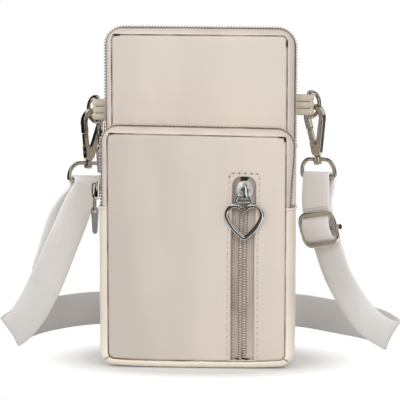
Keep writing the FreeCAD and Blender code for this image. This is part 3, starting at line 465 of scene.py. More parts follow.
def settle(piece):
    """Apply the modifiers of a piece to its mesh."""
    graph = bpy.context.evaluated_depsgraph_get()
    mesh = bpy.data.meshes.new_from_object(piece.evaluated_get(graph))
    piece.modifiers.clear()
    piece.data = mesh
    return piece


def thicken(piece, thickness):
    """Give a sheet its thickness on the inner side."""
    solid = piece.modifiers.new("thick", "SOLIDIFY")
    solid.thickness = thickness * MM
    solid.offset = -1.0
    solid.use_even_offset = True
    return settle(piece)


def stand_for(nodes):
    """Hide the solids that a piece stands for."""
    if nodes:
        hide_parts(*nodes)


def dress(piece, slot, body, *nodes):
    """Hide the solids a piece stands for and fix the piece to the one body it moves with."""
    stand_for(nodes)
    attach(piece, body)


def drape(piece, slot, prefix, *nodes):
    """Hide the solids that a piece across a lip's fold stands for, and bake its placement into its mesh."""
    stand_for(nodes)
    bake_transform(piece)


def hang(piece, side, *nodes):
    """Hide the solids that a piece of the strap stands for, and bake its placement into its mesh."""
    stand_for(nodes)
    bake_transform(piece)


def grid_faces(rows, columns, around=False, ring=False, flip=False):
    """Quads of a grid of points laid out row by row, closed around each row or from last row to first."""
    faces = []
    for row in range(rows if ring else rows - 1):
        near = row * columns
        far = (row + 1) % rows * columns
        for column in range(columns if around else columns - 1):
            beside = (column + 1) % columns
            face = (near + column, near + beside, far + beside, far + column)
            faces.append(face[::-1] if flip else face)
    return faces


def end_faces(rows, columns, flip=False):
    """Faces that close the first and the last row of a grid."""
    first = tuple(range(columns))
    last = tuple(range((rows - 1) * columns, rows * columns))
    return [first, last[::-1]] if flip else [first[::-1], last]


def line_points(points, resolution):
    """Points along the smooth line of a route, read from its NURBS spline, in millimetres."""
    curve = bpy.data.curves.new("route", "CURVE")
    curve.dimensions = "3D"
    curve.resolution_u = resolution
    spline = curve.splines.new("NURBS")
    spline.points.add(len(points) - 1)
    for target, point in zip(spline.points, points):
        target.co = (*(Vector(point) * MM), 1.0)
    spline.order_u = 3
    spline.use_endpoint_u = True
    holder = bpy.data.objects.new("route", curve)
    scene.collection.objects.link(holder)
    mesh = bpy.data.meshes.new_from_object(holder)
    result = [vertex.co / MM for vertex in mesh.vertices]
    bpy.data.objects.remove(holder)
    bpy.data.curves.remove(curve)
    bpy.data.meshes.remove(mesh)
    return result


def arc(x, z, radius, first, last, steps):
    """Points of an arc with both its ends, angles in degrees."""
    angles = [math.radians(first + (last - first) * step / steps) for step in range(steps + 1)]
    return [(x + radius * math.cos(angle), z + radius * math.sin(angle)) for angle in angles]


def circle(radius, sides):
    """Points of a round section."""
    return arc(0.0, 0.0, radius, 0, 360, sides)[:-1]


def loop_points(half_x, half_y, corner, steps=5):
    """Points round a rounded rectangle."""
    c = max(0.02, min(corner, half_y, half_x))
    x = half_x - c
    y = half_y - c
    points = []
    for quarter, middle in enumerate(((x, y), (-x, y), (-x, -y), (x, -y))):
        points += arc(*middle, c, 90 * quarter, 90 * quarter + 90, steps)
    return points


def mirrored(points):
    """Points followed by their mirror image in the first coordinate, going back."""
    return points + [(-a, b) for a, b in reversed(points)]


def soften(points, times):
    """Cut the corners of a closed outline."""
    for _ in range(times):
        cut = []
        for a, b in zip(points, points[1:] + points[:1]):
            cut.append((a[0] * 0.75 + b[0] * 0.25, a[1] * 0.75 + b[1] * 0.25))
            cut.append((a[0] * 0.25 + b[0] * 0.75, a[1] * 0.25 + b[1] * 0.75))
        points = cut
    return points


def direction(points, index, closed=False):
    """Direction of a line at one of its points."""
    before = index - 1 if closed else max(index - 1, 0)
    after = (index + 1) % len(points) if closed else min(index + 1, len(points) - 1)
    return (points[after] - points[before]).normalized()


def squared(width, along):
    """Direction of a width, made square to the direction of a line."""
    return (width - along * width.dot(along)).normalized()


def follow(name, points, normal, section, material, closed=False, place=None):
    """Bar along a flat line. Its section has sideways and face-on offsets."""
    verts = []
    for index, point in enumerate(points):
        side = direction(points, index, closed).cross(normal)
        verts += [point + side * a + normal * b for a, b in section]
    faces = grid_faces(len(points), len(section), around=True, ring=closed)
    if not closed:
        faces += end_faces(len(points), len(section))
    return make(name, verts, faces, material, place)


def wobble(x, y, z, size, seed):
    """Smooth noise from about -1 to 1 with bumps of one size."""
    return noise.noise(Vector((x / size + seed, y / size - seed, z / size + 2 * seed)))


def ease(value, start, end):
    """Smooth step from 0 to 1 as a value goes from start to end."""
    share = min(1.0, max(0.0, (value - start) / (end - start)))
    return share * share * (3 - 2 * share)


# Beads for teeth and stitches

def ball():
    """Points and faces of a round bead of radius 1."""
    rings = 4
    sides = 8
    verts = []
    for ring in range(1, rings + 1):
        tilt = math.pi * ring / (rings + 1)
        verts += [(x, y, math.cos(tilt)) for x, y in circle(math.sin(tilt), sides)]
    faces = grid_faces(rings, sides, around=True, flip=True)
    pole = len(verts)
    low = pole - sides
    for side in range(sides):
        ahead = (side + 1) % sides
        faces += [(pole, side, ahead), (low + side, pole + 1, low + ahead)]
    return verts + [(0.0, 0.0, 1.0), (0.0, 0.0, -1.0)], faces


BALL_POINTS, BALL_FACES = ball()


def beads(name, places, material):
    """Many small rounded beads in one mesh. A place is a middle and three half-axes."""
    verts = []
    faces = []
    for middle, a, b, c in places:
        base = len(verts)
        verts += [middle + a * x + b * y + c * z for x, y, z in BALL_POINTS]
        faces += [tuple(base + i for i in face) for face in BALL_FACES]
    return make(name, verts, faces, material)


def walk(points, pitch):
    """Evenly spaced places along a line of points, with the direction of travel."""
    result = []
    ahead = pitch / 2
    for a, b in zip(points, points[1:]):
        span = (b - a).length
        if span < 1e-6:
            continue
        way = (b - a) / span
        while ahead <= span:
            result.append((a + way * ahead, way))
            ahead += pitch
        ahead -= span
    return result


def stitch_places(points, normal, pitch, length, radius):
    """Places of stitches lying along a line on a surface."""
    places = []
    for place, way in walk(points, pitch):
        side = way.cross(normal)
        places.append((place, way * (length / 2), side * radius, normal * (radius * 0.8)))
    return places


# Strap

def web_section(width, thick):
    """Flat woven section with a slightly raised selvedge on both sides."""
    profile = [(-1.0, 0.0), (-0.985, 0.7), (-0.93, 1.0), (-0.6, 0.92), (-0.2, 0.95), (0.2, 0.95), (0.6, 0.92)]
    profile += [(0.93, 1.0), (0.985, 0.7)]
    profile += [(-a, -b) for a, b in profile]
    return [(a * width / 2, b * thick / 2) for a, b in profile]


def ribbon(name, stations, section, material, resolution=8):
    """Webbing along stations of a middle point and a width direction, with its middle line and length."""
    middles = [Vector(point) for point, _ in stations]
    edges = []
    for index, (_, across) in enumerate(stations):
        width = squared(Vector(across), direction(middles, index))
        edges.append(middles[index] + width * (STRAP_WIDTH / 2))
    line = line_points(middles, resolution)
    edge = line_points(edges, resolution)
    verts = []
    for index, point in enumerate(line):
        along = direction(line, index)
        width = squared(edge[index] - point, along)
        face = along.cross(width)
        verts += [point + width * a + face * b for a, b in section]
    faces = grid_faces(len(line), len(section), around=True) + end_faces(len(line), len(section), flip=True)
    piece = make(name, verts, faces, material)
    length = sum((b - a).length for a, b in zip(line, line[1:]))
    return piece, line, length


def turned_frame(point, tilt, turn):
    """Placement at a point, turned about the vertical and then tilted to one side, in degrees."""
    lean = Matrix.Rotation(math.radians(tilt), 4, "Y")
    return Matrix.Translation(point) @ lean @ Matrix.Rotation(math.radians(turn), 4, "Z")


def square_stations(place, points):
    """Stations that lie square to a bar, from offsets into the webbing and up it."""
    across = place.to_3x3() @ SIDEWAYS
    return [(place @ Vector((0, y, z)), across) for y, z in points]


def wrap_points():
    """Offsets over the top of a strap bar, from behind to the front."""
    r = WRAP_RADIUS
    return mirrored([(r, -WRAP_LEAD), (r, 0.0), (0.85 * r, 1.15 * r)])


def adjuster_frame():
    """Placement of the adjuster on the right run: X across it, Y into it and Z up along it."""
    above, middle, below = [Vector(RIGHT_RUN[index][0]) for index in range(3)]
    up = (above - below).normalized()
    wide = squared(Vector(RIGHT_RUN[1][1]), up)
    axes = Matrix((wide, up.cross(wide), up)).transposed()
    return Matrix.Translation(middle) @ axes.to_4x4()


def hank_stations():
    """Stations of the folded strap: runs along the depth joined by half turns."""
    first = -HANK_PITCH * (HANK_RUNS - 1) / 2
    radius = HANK_PITCH / 2
    arm = HANK_END_ARC
    points = [(first - arm, HANK_BACK + arm), (first - arm / 3, HANK_BACK + arm * 0.9), (first, HANK_BACK)]
    middle = (HANK_FRONT + HANK_BACK) / 2
    for index in range(HANK_RUNS):
        x = first + index * HANK_PITCH
        forward = index % 2 == 0
        back = HANK_EXIT_BACK if index == HANK_RUNS - 1 else HANK_BACK
        start, end = (back, HANK_FRONT) if forward else (HANK_FRONT, back)
        sway = 0.5 if index % 3 else -0.4
        points += [(x, start), (x + sway, middle), (x, end)]
        if index < HANK_RUNS - 1:
            turn = end - radius if forward else end + radius
            points += [(x + 0.2 * radius, turn), (x + 1.8 * radius, turn)]
    exit_x = -first
    points += [(exit_x + arm * 0.3, HANK_EXIT_BACK + arm), (exit_x + arm * 0.8, HANK_EXIT_BACK + 1.08 * arm)]
    return [((x, y, STRAP_MID_Z), (0.0, 0.0, 1.0)) for x, y in points]


def strap():
    """Left run with its tail, folded length behind the pouch, and right run with its doubled top."""
    section = web_section(STRAP_WIDTH, STRAP_THICK)
    hank = hank_stations()
    web = turned_frame(LEFT_BAR, LEFT_TILT, 45)
    start = Vector(hank[0][0])
    floor_end = [(start - SIDEWAYS * (STRAP_WIDTH / 4), (0, 0, -1)), (start, (0, 0, -1))]
    stations = square_stations(web, wrap_points()) + LEFT_RUN + floor_end
    left, line, length = ribbon("strap_left", stations, section, WEBBING)
    lead = square_stations(web, [(WRAP_RADIUS + 0.1, -WRAP_LEAD), (WRAP_RADIUS + 0.1, -2 * WRAP_LEAD)])
    tail, _, _ = ribbon("strap_left_end", lead + LEFT_TAIL, section, WEBBING)
    hang(left, "left", "strap_left_run")
    hang(tail, "left", "strap_left_tail")

    folded, line, length = ribbon("strap_folded", hank, section, WEBBING)
    dress(folded, "webbing", "pouch", "strap_hank")

    web = turned_frame(RIGHT_BAR, RIGHT_TILT, -45)
    place = adjuster_frame()
    doubled = square_stations(place, [(-LAYER_OUT, LAYER_LOW), (-LAYER_OUT, LAYER_KNEE)])
    wrap = square_stations(web, wrap_points()[::-1] + [(WRAP_RADIUS, -2 * WRAP_LEAD)])
    stations = doubled + wrap + RIGHT_RUN + [(hank[-1][0], (0, 0, 1))]
    right, line, length = ribbon("strap_right", stations, section, WEBBING)
    hang(right, "right", "strap_right_run", "strap_right_top")
    places = []
    edge = STRAP_WIDTH / 2 - 1.2
    for up in (LAYER_LOW + 1.6, LAYER_LOW + 2.9):
        row = [place @ Vector((x, -LAYER_OUT - STRAP_THICK / 2, up)) for x in (-edge, edge)]
        places += stitch_places(row, place.to_3x3() @ FORWARD, *STRAP_STITCH)
    sewn = beads("strap_end_stitches", places, STRAP_THREAD)
    hang(sewn, "right")

    half = [(9.0, 1.5), (7.5, 1.5), (6.6, 2.8), (5.3, 4.7), (2.8, 5.7), (0.0, 5.9)]
    profile = half + [(-up, out) for up, out in reversed(half[:-1])]
    stations = square_stations(place, [(-out, up) for up, out in profile])
    bulge, _, _ = ribbon("strap_over_bar", stations, section, WEBBING)
    dress(bulge, "webbing", "adjuster", "strap_bar_bulge")


def hank_band():
    """Flat elastic band round the folded strap."""
    middle = (TIE_HIGH + TIE_LOW) / 2
    rim = loop_points(TIE_HALF, (TIE_HIGH - TIE_LOW) / 2, TIE_CORNER, 6)
    points = [Vector((x, TIE_Y, middle + z)) for x, z in rim]
    edge = TIE_WIDTH / 2
    section = mirrored([(0.25, -edge), (0.4, 0.4 - edge), (0.3, 0.0), (0.4, edge - 0.4), (0.25, edge)])
    piece = follow("folded_strap_band", points, FORWARD, section, BAND, closed=True)
    dress(piece, "band", "pouch", "hank_tie")


# Outlines, as points with their outward directions

def straight(start, end, out, count):
    """Stretch along a straight side, without its end."""
    (x0, z0), (x1, z1) = start, end
    shares = [index / count for index in range(count)]
    return [(x0 + (x1 - x0) * share, z0 + (z1 - z0) * share, *out) for share in shares]


def bow(x, z, radius, first, last):
    """Stretch round a corner, angles in degrees, without its end."""
    outs = arc(0.0, 0.0, 1.0, first, last, CORNER_STEPS)[:-1]
    return [(x + radius * out_x, z + radius * out_z, out_x, out_z) for out_x, out_z in outs]


def over_top(half, low, high, corner):
    """Outline from the left zip end over the top to the right zip end."""
    side = high - corner
    inner = half - corner
    path = straight((-half, low), (-half, side), (-1.0, 0.0), SIDE_STEPS)
    path += bow(-inner, side, corner, 180, 90)
    path += straight((-inner, high), (inner, high), (0.0, 1.0), LEVEL_STEPS)
    path += bow(inner, side, corner, 90, 0)
    path += straight((half, side), (half, low), (1.0, 0.0), SIDE_STEPS)
    path.append((half, low, 1.0, 0.0))
    return path


def under_base(half, low, high, corner):
    """Outline from the right zip end under the base to the left one, a half turn of the one over the top."""
    path = over_top(half, low, high, corner)
    return [(-x, low + high - z, -out_x, -out_z) for x, z, out_x, out_z in path]


def slump(prefix, x, z):
    """Height by which a compartment's top hangs lower on the right, and its base rises at both corners."""
    smile = BASE_SMILE * abs(x / HALF) ** 4 * (1 - ease(z, 3.0, 34.0))
    smile += 0.7 * abs(wobble(x, 0, 0, 9.0, 71.0)) * (1 - ease(z, 4.0, 16.0))
    drop, start, end = SLUMP[prefix]
    return smile - drop * x / HALF * ease(z, start, end)


def sag(prefix, path):
    """Outline moved by its compartment's slump."""
    return [(x, z + slump(prefix, x, z), out_x, out_z) for x, z, out_x, out_z in path]


def zip_outline(prefix):
    """Outline of a zip, pulled in towards its right end."""
    low = ZIP_END[prefix]
    path = []
    for x, z, out_x, out_z in over_top(HALF, low, HEIGHT[prefix], TOP_CORNER):
        pinch = ZIP_PINCH[prefix] * (1 - ease(z, low, low + ZIP_PINCH_RISE)) if x > 0 else 0.0
        path.append((x - pinch, z, out_x, out_z))
    return sag(prefix, path)


def top_seam(prefix):
    """Line where the zip tape meets the panel."""
    return sag(prefix, over_top(PANEL_HALF, ZIP_END[prefix], PANEL_TOP[prefix], PANEL_CORNER))


def low_seam(prefix):
    """Line where the cloth band meets the panel."""
    return sag(prefix, under_base(PANEL_HALF, SEAM_LOW, ZIP_END[prefix], PANEL_CORNER))


def sweep(name, outer, seam, section, material, slack=0.0, seed=0.0):
    """Band between an outline and a seam. Its section has depths and shares of the way to the seam."""
    verts = []
    for (x, z, out_x, out_z), (seam_x, seam_z, _, _) in zip(outer, seam):
        for y, share in section:
            loose = ease(share, 1.0, 0.6) * (1 + min(0.0, out_z))
            fold = 0.7 * wobble(0.25 * x, y, 0.25 * z, 4.5, seed) + 0.5 * wobble(x, y, z, 13.0, seed + 2)
            reach = slack * fold * loose
            band_x = x + (seam_x - x) * share + out_x * reach
            band_z = z + (seam_z - z) * share + out_z * reach
            verts.append((band_x, y, band_z))
    return make(name, verts, grid_faces(len(outer), len(section), flip=True), material)


# Panels

def pocket_middle(z):
    """Middle of the pocket zip, which leans to the right towards its top."""
    return POCKET_X + POCKET_LEAN * ease(z, 55.0, 104.0)


def window_gap(x, z):
    """Distance from the edge of the pocket window, positive on the panel."""
    side = abs(x - pocket_middle(z))
    rise = z - (WINDOW_TOP - WINDOW_CORNER)
    if rise <= 0:
        return side - WINDOW_HALF
    across = max(side - (WINDOW_HALF - WINDOW_CORNER), 0.0)
    return math.hypot(across, rise) - WINDOW_CORNER


def edge_roll(gap, radius):
    """Depth by which a sewn edge rolls in, by distance from the edge."""
    if gap >= radius:
        return 0.0
    share = 1 - max(gap, 0.0) / radius
    return radius * (1 - math.sqrt(1 - share * share))


def spaced(start, end, count):
    """Positions from start to end, closer together at both ends."""
    near = [start + offset for offset in EDGE_STEPS]
    far = [end - offset for offset in reversed(EDGE_STEPS)]
    gap = (far[0] - near[-1]) / (count + 1)
    return near + [near[-1] + gap * (index + 1) for index in range(count)] + far


def panel_rows(high, step):
    """Heights of a panel's rows with the half width at each, closer together in the corners."""
    inner = PANEL_HALF - PANEL_CORNER
    start = SEAM_LOW + PANEL_CORNER
    end = high - PANEL_CORNER
    count = math.ceil((end - start) / step)
    rows = arc(inner, start, PANEL_CORNER, -90, 0, 8)
    rows += [(PANEL_HALF, start + (end - start) * index / count) for index in range(1, count)]
    rows += arc(inner, end, PANEL_CORNER, 0, 90, 10)
    return [(z, half) for half, z in rows]


def outline_gap(x, z, high):
    """Distance inside a panel's rounded outline."""
    side = PANEL_HALF - abs(x)
    level = min(high - z, z - SEAM_LOW)
    if max(side, level) < PANEL_CORNER:
        return PANEL_CORNER - math.hypot(PANEL_CORNER - side, PANEL_CORNER - level)
    return min(side, level)


def swell(x, z, high):
    """Share of a panel's crown at one place, full in the middle and none at its edges."""
    across = min(1.0, abs(x) / PANEL_HALF)
    height = abs(2 * (z - SEAM_LOW) / (high - SEAM_LOW) - 1)
    return max(0.0, 1 - across ** 2.6) * max(0.0, 1 - height ** 3.2)


def proud(x, z, high, crown, seed):
    """How far a panel stands out of its face: crown, slow waves, sewing puckers and rolled edge."""
    gap = max(outline_gap(x, z, high), 0.0)
    slow = 0.6 * wobble(x, 0, 0.45 * z, 30.0, seed) + 0.3 * wobble(x, 0, 0.6 * z, 13.0, seed + 3)
    pucker = 0.32 * wobble(x, 0, z, 3.8, seed + 8) * math.exp(-gap / 4.0)
    full = crown * swell(x, z, high) + slow * min(1.0, gap / 9) + pucker * min(1.0, gap / 1.2)
    return full - edge_roll(gap, 1.5)


def front_depth(x, z):
    """Depth of the front panel's face, with the hem round the pocket window."""
    near = window_gap(x, z)
    crown = FRONT_CROWN * (1 - 0.85 * math.exp(-((x - POCKET_X) / 22) ** 2))
    hem = 0.5 * math.exp(-((near - 0.9) / 0.6) ** 2) - 0.35 * math.exp(-((near - STITCH_OFFSET) / 0.4) ** 2)
    pucker = 0.16 * wobble(x, 0, z, 2.6, 41.0) * math.exp(-((near - STITCH_OFFSET) / 2.2) ** 2)
    return FACE["front"] - proud(x, z, PANEL_TOP["front"], crown, 1.3) - hem - pucker + edge_roll(near, 0.9)


def window_reach(z):
    """Half width of the cut round the pocket window at one height, and of its grid above it."""
    rise = z - (WINDOW_TOP - WINDOW_CORNER)
    if rise <= 0:
        return WINDOW_HALF
    if z <= WINDOW_TOP + 1e-6:
        return WINDOW_HALF - WINDOW_CORNER + math.sqrt(max(0.0, WINDOW_CORNER ** 2 - rise ** 2))
    return min(WINDOW_HALF, WINDOW_HALF - WINDOW_CORNER + z - WINDOW_TOP)


def front_rows():
    """Rows of the front panel, closer together round the top of the window."""
    rows = panel_rows(PANEL_TOP["front"], 2.2)
    rows = [(z, half) for z, half in rows if not WINDOW_TOP - 7 < z < WINDOW_TOP + 6]
    base = WINDOW_TOP - WINDOW_CORNER
    arch = [base + WINDOW_CORNER * math.sin(math.radians(9 * index)) for index in range(11)]
    above = [WINDOW_TOP + offset for offset in EDGE_STEPS[1:]]
    return sorted(rows + [(z, PANEL_HALF) for z in arch + above + [WINDOW_TOP - 6.4]])


def front_panel():
    """Front panel with the pocket window."""
    verts = []
    index_of = {}
    faces = []

    def vertex(x, z):
        key = (round(x, 4), round(z, 4))
        if key not in index_of:
            index_of[key] = len(verts)
            verts.append((x, front_depth(x, z), z + slump("front", x, z)))
        return index_of[key]

    grid = []
    for z, half in front_rows():
        reach = window_reach(z)
        centre = pocket_middle(z)
        left = spaced(-half, centre - reach, 24)
        right = spaced(centre + reach, half, 4)
        middle = [centre + reach * share for share in (-1.0, -0.66, -0.33, 0.0, 0.33, 0.66, 1.0)]
        grid.append((z, left, middle, right))
    for (z0, *near), (z1, *far) in zip(grid, grid[1:]):
        for part, (low, high) in enumerate(zip(near, far)):
            if part == 1 and z0 < WINDOW_TOP - 1e-6:
                continue
            for i in range(len(low) - 1):
                below = [vertex(low[i], z0), vertex(low[i + 1], z0)]
                above = [vertex(high[i + 1], z1), vertex(high[i], z1)]
                face = tuple(dict.fromkeys(below + above))
                if len(face) > 2:
                    faces.append(face)
    panel = thicken(make("front_panel_cloth", verts, faces, FRONT_BEIGE), PANEL_THICK)
    drape(panel, "beige_nylon", "front", "front_panel", "front_lip_panel")


def rear_panel(name, face, way, crown, seed):
    """Panel of the rear compartment without a window. Way is -1 for the front and 1 for the back."""
    high = PANEL_TOP["rear"]
    rows = panel_rows(high, 2.4)
    verts = []
    for z, half in rows:
        for x in spaced(-half, half, 36):
            verts.append((x, face + way * proud(x, z, high, crown, seed), z + slump("rear", x, z)))
    faces = grid_faces(len(rows), len(verts) // len(rows), flip=way > 0)
    return thicken(make(name, verts, faces, BEIGE), PANEL_THICK)


# Zip bands

def zip_band(prefix, back_tape, back_band):
    """Zip tapes, teeth and the cloth band of one compartment."""
    face = FACE[prefix]
    zip_end = ZIP_END[prefix]
    zip_y = face + ZIP_BACK
    outer = zip_outline(prefix)
    seam = top_seam(prefix)
    near = [(face + depth, share) for depth, share in TAPE_RISE] + [(face + TAPE_EDGE, TAPE_EDGE_SHARE)]
    tape = thicken(sweep(prefix + "_tape_front", outer, seam, near, TAPE, 0.25, 5.0), TAPE_THICK)
    drape(tape, "zip_tape", prefix, prefix + "_zip_side_tapes", prefix + "_lip_tape")
    far = [(2 * zip_y - face - TAPE_EDGE, TAPE_EDGE_SHARE)] + back_tape
    tape_back = thicken(sweep(prefix + "_tape_back", outer, seam, far, TAPE, 0.25, 7.0), TAPE_THICK)
    dress(tape_back, "zip_tape", "pouch", prefix + "_zip_back_tape")
    teeth(prefix, outer, zip_y)
    # A dark line along the tape's edge paints the shade in the groove above the teeth
    ditch = []
    for (x, z, _, _), (seam_x, seam_z, _, _) in zip(outer, seam):
        x += (seam_x - x) * TAPE_EDGE_SHARE
        z += (seam_z - z) * TAPE_EDGE_SHARE
        ditch.append(Vector((x, face + TAPE_EDGE - 0.8, z)))
    groove = follow(prefix + "_zip_groove_shade", ditch, FORWARD, circle(GROOVE_RADIUS, 6), GROOVE_SHADE)
    drape(groove, "zip_coil", prefix)
    # Dark sheets that paint the shade between and beneath the teeth
    for name, side in (("front", -1), ("back", 1)):
        shadow = [(zip_y + side * 2.2, 0.24), (zip_y + side * 0.9, 0.1), (zip_y + side * 0.06, 0.1)]
        core = sweep(prefix + "_zip_core_shade_" + name, outer, seam, shadow, GAP_SHADE)
        if side < 0:
            drape(core, "zip_coil", prefix)
        else:
            dress(core, "zip_coil", "pouch")
    base = sag(prefix, under_base(HALF, 0.0, zip_end, LOW_CORNER))
    section = [(face + depth, share) for depth, share in BAND_RISE]
    section += [(face + 7.5, -0.03), (zip_y, -0.05), (zip_y + 3.5, -0.03)] + back_band
    band = thicken(sweep(prefix + "_band", base, low_seam(prefix), section, CREAM, 0.5, 11.0), BAND_THICK)
    dress(band, "cream_nylon", "pouch", prefix + "_gusset")
    for end in (0, -1):
        x = base[end][0]
        fold = [Vector((x * (1 - share * SEAM_SIDE / HALF), y, zip_end)) for y, share in section[2:-2]]
        hem = follow(prefix + "_hem_" + str(end + 1), fold, UP, circle(HEM_RADIUS, 8), CREAM)
        dress(hem, "cream_nylon", "pouch")


def teeth(prefix, outer, zip_y):
    """Two rows of teeth along a compartment's zip."""
    line = [Vector((x, zip_y, z)) for x, z, _, _ in outer]
    long, deep, tall = TOOTH_HALF
    rows = {"front": [], "back": []}
    for index, (place, way) in enumerate(walk(line, TOOTH_PITCH / 2)):
        out = Vector((-way.z, 0, way.x))
        side = 1 if index % 2 else -1
        middle = place + Vector((0, side * 1.05, 0)) - out * (0.8 if side > 0 else 0.0)
        tooth = (middle, way * long, Vector((0, deep, 0)), out * tall)
        rows["back" if side > 0 else "front"].append(tooth)
    front = beads(prefix + "_teeth_front", rows["front"], COIL)
    drape(front, "zip_coil", prefix, prefix + "_zip_side_coils", prefix + "_lip_coil")
    back = beads(prefix + "_teeth_back", rows["back"], COIL)
    dress(back, "zip_coil", "pouch", prefix + "_zip_back_coil")


def seam_shade_lines():
    """Dark line that paints the shade in the seam groove round each panel."""
    for prefix, face in FACE.items():
        loop = top_seam(prefix) + low_seam(prefix)[1:-1]
        points = [Vector((x, face + 0.45, z)) for x, z, _, _ in loop]
        line = follow(prefix + "_seam_shade_line", points, FORWARD, circle(SEAM_RADIUS, 6), SEAM_SHADE_LINE, closed=True)
        drape(line, "beige_nylon", prefix)


def corner_fold_shades():
    """Painted shade in the openings where the zip tape is tucked under a panel's corner, and in the creases
    of the base corners.
    """
    half = PANEL_HALF
    front_top = PANEL_TOP["front"] + slump("front", half, HEIGHT["front"])
    rear_top = PANEL_TOP["rear"]
    tuck_shades = {
        "front": [
            ((half - 0.6, front_top - 1.3), (0.7, 1.5)),
            ((half - 2.6, front_top - 0.05), (2.0, 0.36)),
            ((2.6 - half, front_top + 1.6), (1.7, 0.4)),
        ],
        "rear": [
            ((2.9 - half, rear_top + 0.1), (2.3, 0.6)),
            ((half - 0.25, rear_top - 4.6), (0.5, 2.2)),
        ],
    }
    for prefix, openings in tuck_shades.items():
        places = []
        for (x, z), (wide, tall) in openings:
            middle = Vector((x, FACE[prefix] - 0.1, z))
            places.append((middle, SIDEWAYS * wide, FORWARD * 0.5, UP * tall))
        drape(beads(prefix + "_corner_tuck_shades", places, PAINTED_SHADE), "beige_nylon", prefix)
    for name, way in (("left", -1), ("right", 1)):
        route = []
        for out, depth, rise in ((-0.9, -0.25, 1.0), (0.6, 0.05, -0.3), (1.9, 0.5, -1.3)):
            x = way * (half + out)
            z = SEAM_LOW + rise
            route.append(Vector((x, FACE["front"] + depth, z + slump("front", x, z))))
        # A dark line paints the shade in each base crease
        crease = follow(name + "_base_crease_shade", route, FORWARD, circle(CREASE_RADIUS, 6), THREAD_AND_SHADE)
        dress(crease, "cream_nylon", "pouch")


def window_stitches():
    """Row of stitches round the pocket window, with painted shade in its needle holes."""
    reach = WINDOW_HALF + STITCH_OFFSET
    inner = reach - STITCH_CORNER
    shoulder = WINDOW_TOP + STITCH_OFFSET - STITCH_CORNER
    rise = [(-reach, 6.0 + (shoulder - 6.0) * index / 60) for index in range(60)]
    arch = arc(-inner, shoulder, STITCH_CORNER, 180, 90, 12) + arc(inner, shoulder, STITCH_CORNER, 90, 0, 12)
    points = []
    for across, z in rise + arch + [(-x, height) for x, height in reversed(rise)]:
        x = pocket_middle(z) + across
        points.append(Vector((x, front_depth(x, z) - 0.12, z + slump("front", x, z))))
    row = beads("window_stitches", stitch_places(points, FORWARD, *WINDOW_STITCH), THREAD)
    # Dark beads paint the shade inside the needle holes
    places = []
    for place, way in walk(points, WINDOW_STITCH[0] / 2)[1::2]:
        hole = 0.58 if place.z > WINDOW_TOP else 0.37
        places.append((place, way * hole, way.cross(FORWARD) * (hole - 0.06), FORWARD * 0.22))
    needle = beads("window_needle_hole_shades", places, GROOVE_SHADE)
    drape(row, "beige_nylon", "front")
    drape(needle, "beige_nylon", "front")


def shells():
    """Both compartments: panels, bands and zips."""
    front_panel()
    middle = FACE["rear"]
    back_tape = [(middle - 4.0, 0.2), (middle - 2.0, 0.3), (middle - 0.4, 0.6)]
    back_band = [(middle - 4.0, 0.04), (middle - 2.0, 0.2), (middle - 0.4, 0.55)]
    zip_band("front", back_tape, back_band)
    divider = rear_panel("upper_panel_cloth", middle, -1, DIVIDER_CROWN, 21.0)
    drape(divider, "beige_nylon", "rear", "divider_panel", "rear_lip_panel")
    back_tape = [(BACK_FACE - depth, share) for depth, share in reversed(TAPE_RISE)]
    back_band = [(BACK_FACE - depth, share) for depth, share in reversed(BAND_RISE)]
    zip_band("rear", back_tape, back_band)
    back = rear_panel("back_panel_cloth", BACK_FACE, 1, BACK_CROWN, 31.0)
    dress(back, "beige_nylon", "pouch", "back_panel")
    seam_shade_lines()
    corner_fold_shades()
    window_stitches()


# Pocket and linings

def pocket():
    """Zip tapes, teeth and bag behind the pocket window."""
    across = [
        (2.1, 0.0), (2.6, 0.45), (3.2, 0.0), (3.8, 0.42), (4.4, 0.0), (4.9, 0.2), (5.4, 0.0), (6.6, 0.05),
        (8.6, 0.0),
    ]
    rows = 60
    front = POCKET_PLANE - 0.25
    wide, deep, tall = POCKET_TOOTH_HALF
    for name, side in (("left", -1), ("right", 1)):
        verts = []
        for row in range(rows + 1):
            z = POCKET_LOW + (POCKET_HIGH - POCKET_LOW) * row / rows
            for reach, ridge in across:
                soft = 0.1 * wobble(reach, 0, z, 9.0, 51.0 + side)
                verts.append((pocket_middle(z) + side * reach, front - ridge - soft, z))
        faces = grid_faces(rows + 1, len(across), flip=side < 0)
        tape = thicken(make("pocket_tape_cloth_" + name, verts, faces, POCKET_TAPE), POCKET_TAPE_THICK)
        dress(tape, "zip_tape", "pouch", "pocket_tape_" + name)
        places = []
        for index in range(int((WINDOW_TOP - 1.0 - POCKET_LOW) / POCKET_PITCH)):
            z = POCKET_LOW + 0.5 + (index + (0.5 if side > 0 else 0.0)) * POCKET_PITCH
            spread = 1.25 + 1.3 * ease(z, POCKET_SLIDER_Z + 2.0, WINDOW_TOP)
            middle = Vector((pocket_middle(z) + side * spread, front, z))
            places.append((middle, SIDEWAYS * wide, FORWARD * deep, UP * tall))
        row = beads("pocket_teeth_" + name, places, POCKET_COIL)
        dress(row, "zip_coil", "pouch", "pocket_coil_" + name)
    # Dark beads paint the shade at the top of the window between the parted teeth, and at the zip's two feet
    z = WINDOW_TOP - 2.6
    gap_shades = [(Vector((pocket_middle(z), POCKET_PLANE + 0.1, z)), SIDEWAYS * 1.6, FORWARD * 0.3, UP * 3.0)]
    for side in (-1, 1):
        foot = Vector((POCKET_X + side * 2.4, POCKET_PLANE - 0.8, SEAM_LOW + 1.3))
        gap_shades.append((foot, SIDEWAYS * 1.3, FORWARD * 0.3, UP * 0.5))
    dress(beads("pocket_zip_gap_shades", gap_shades, PAINTED_SHADE), "zip_coil", "pouch")
    bag = pillow("pocket_bag_cloth", BAG_WIDTH, BAG_DEPTH, (BAG_LOW, POCKET_HIGH), True)
    dress(bag, "lining_cloth", "pouch", "pocket_bag")


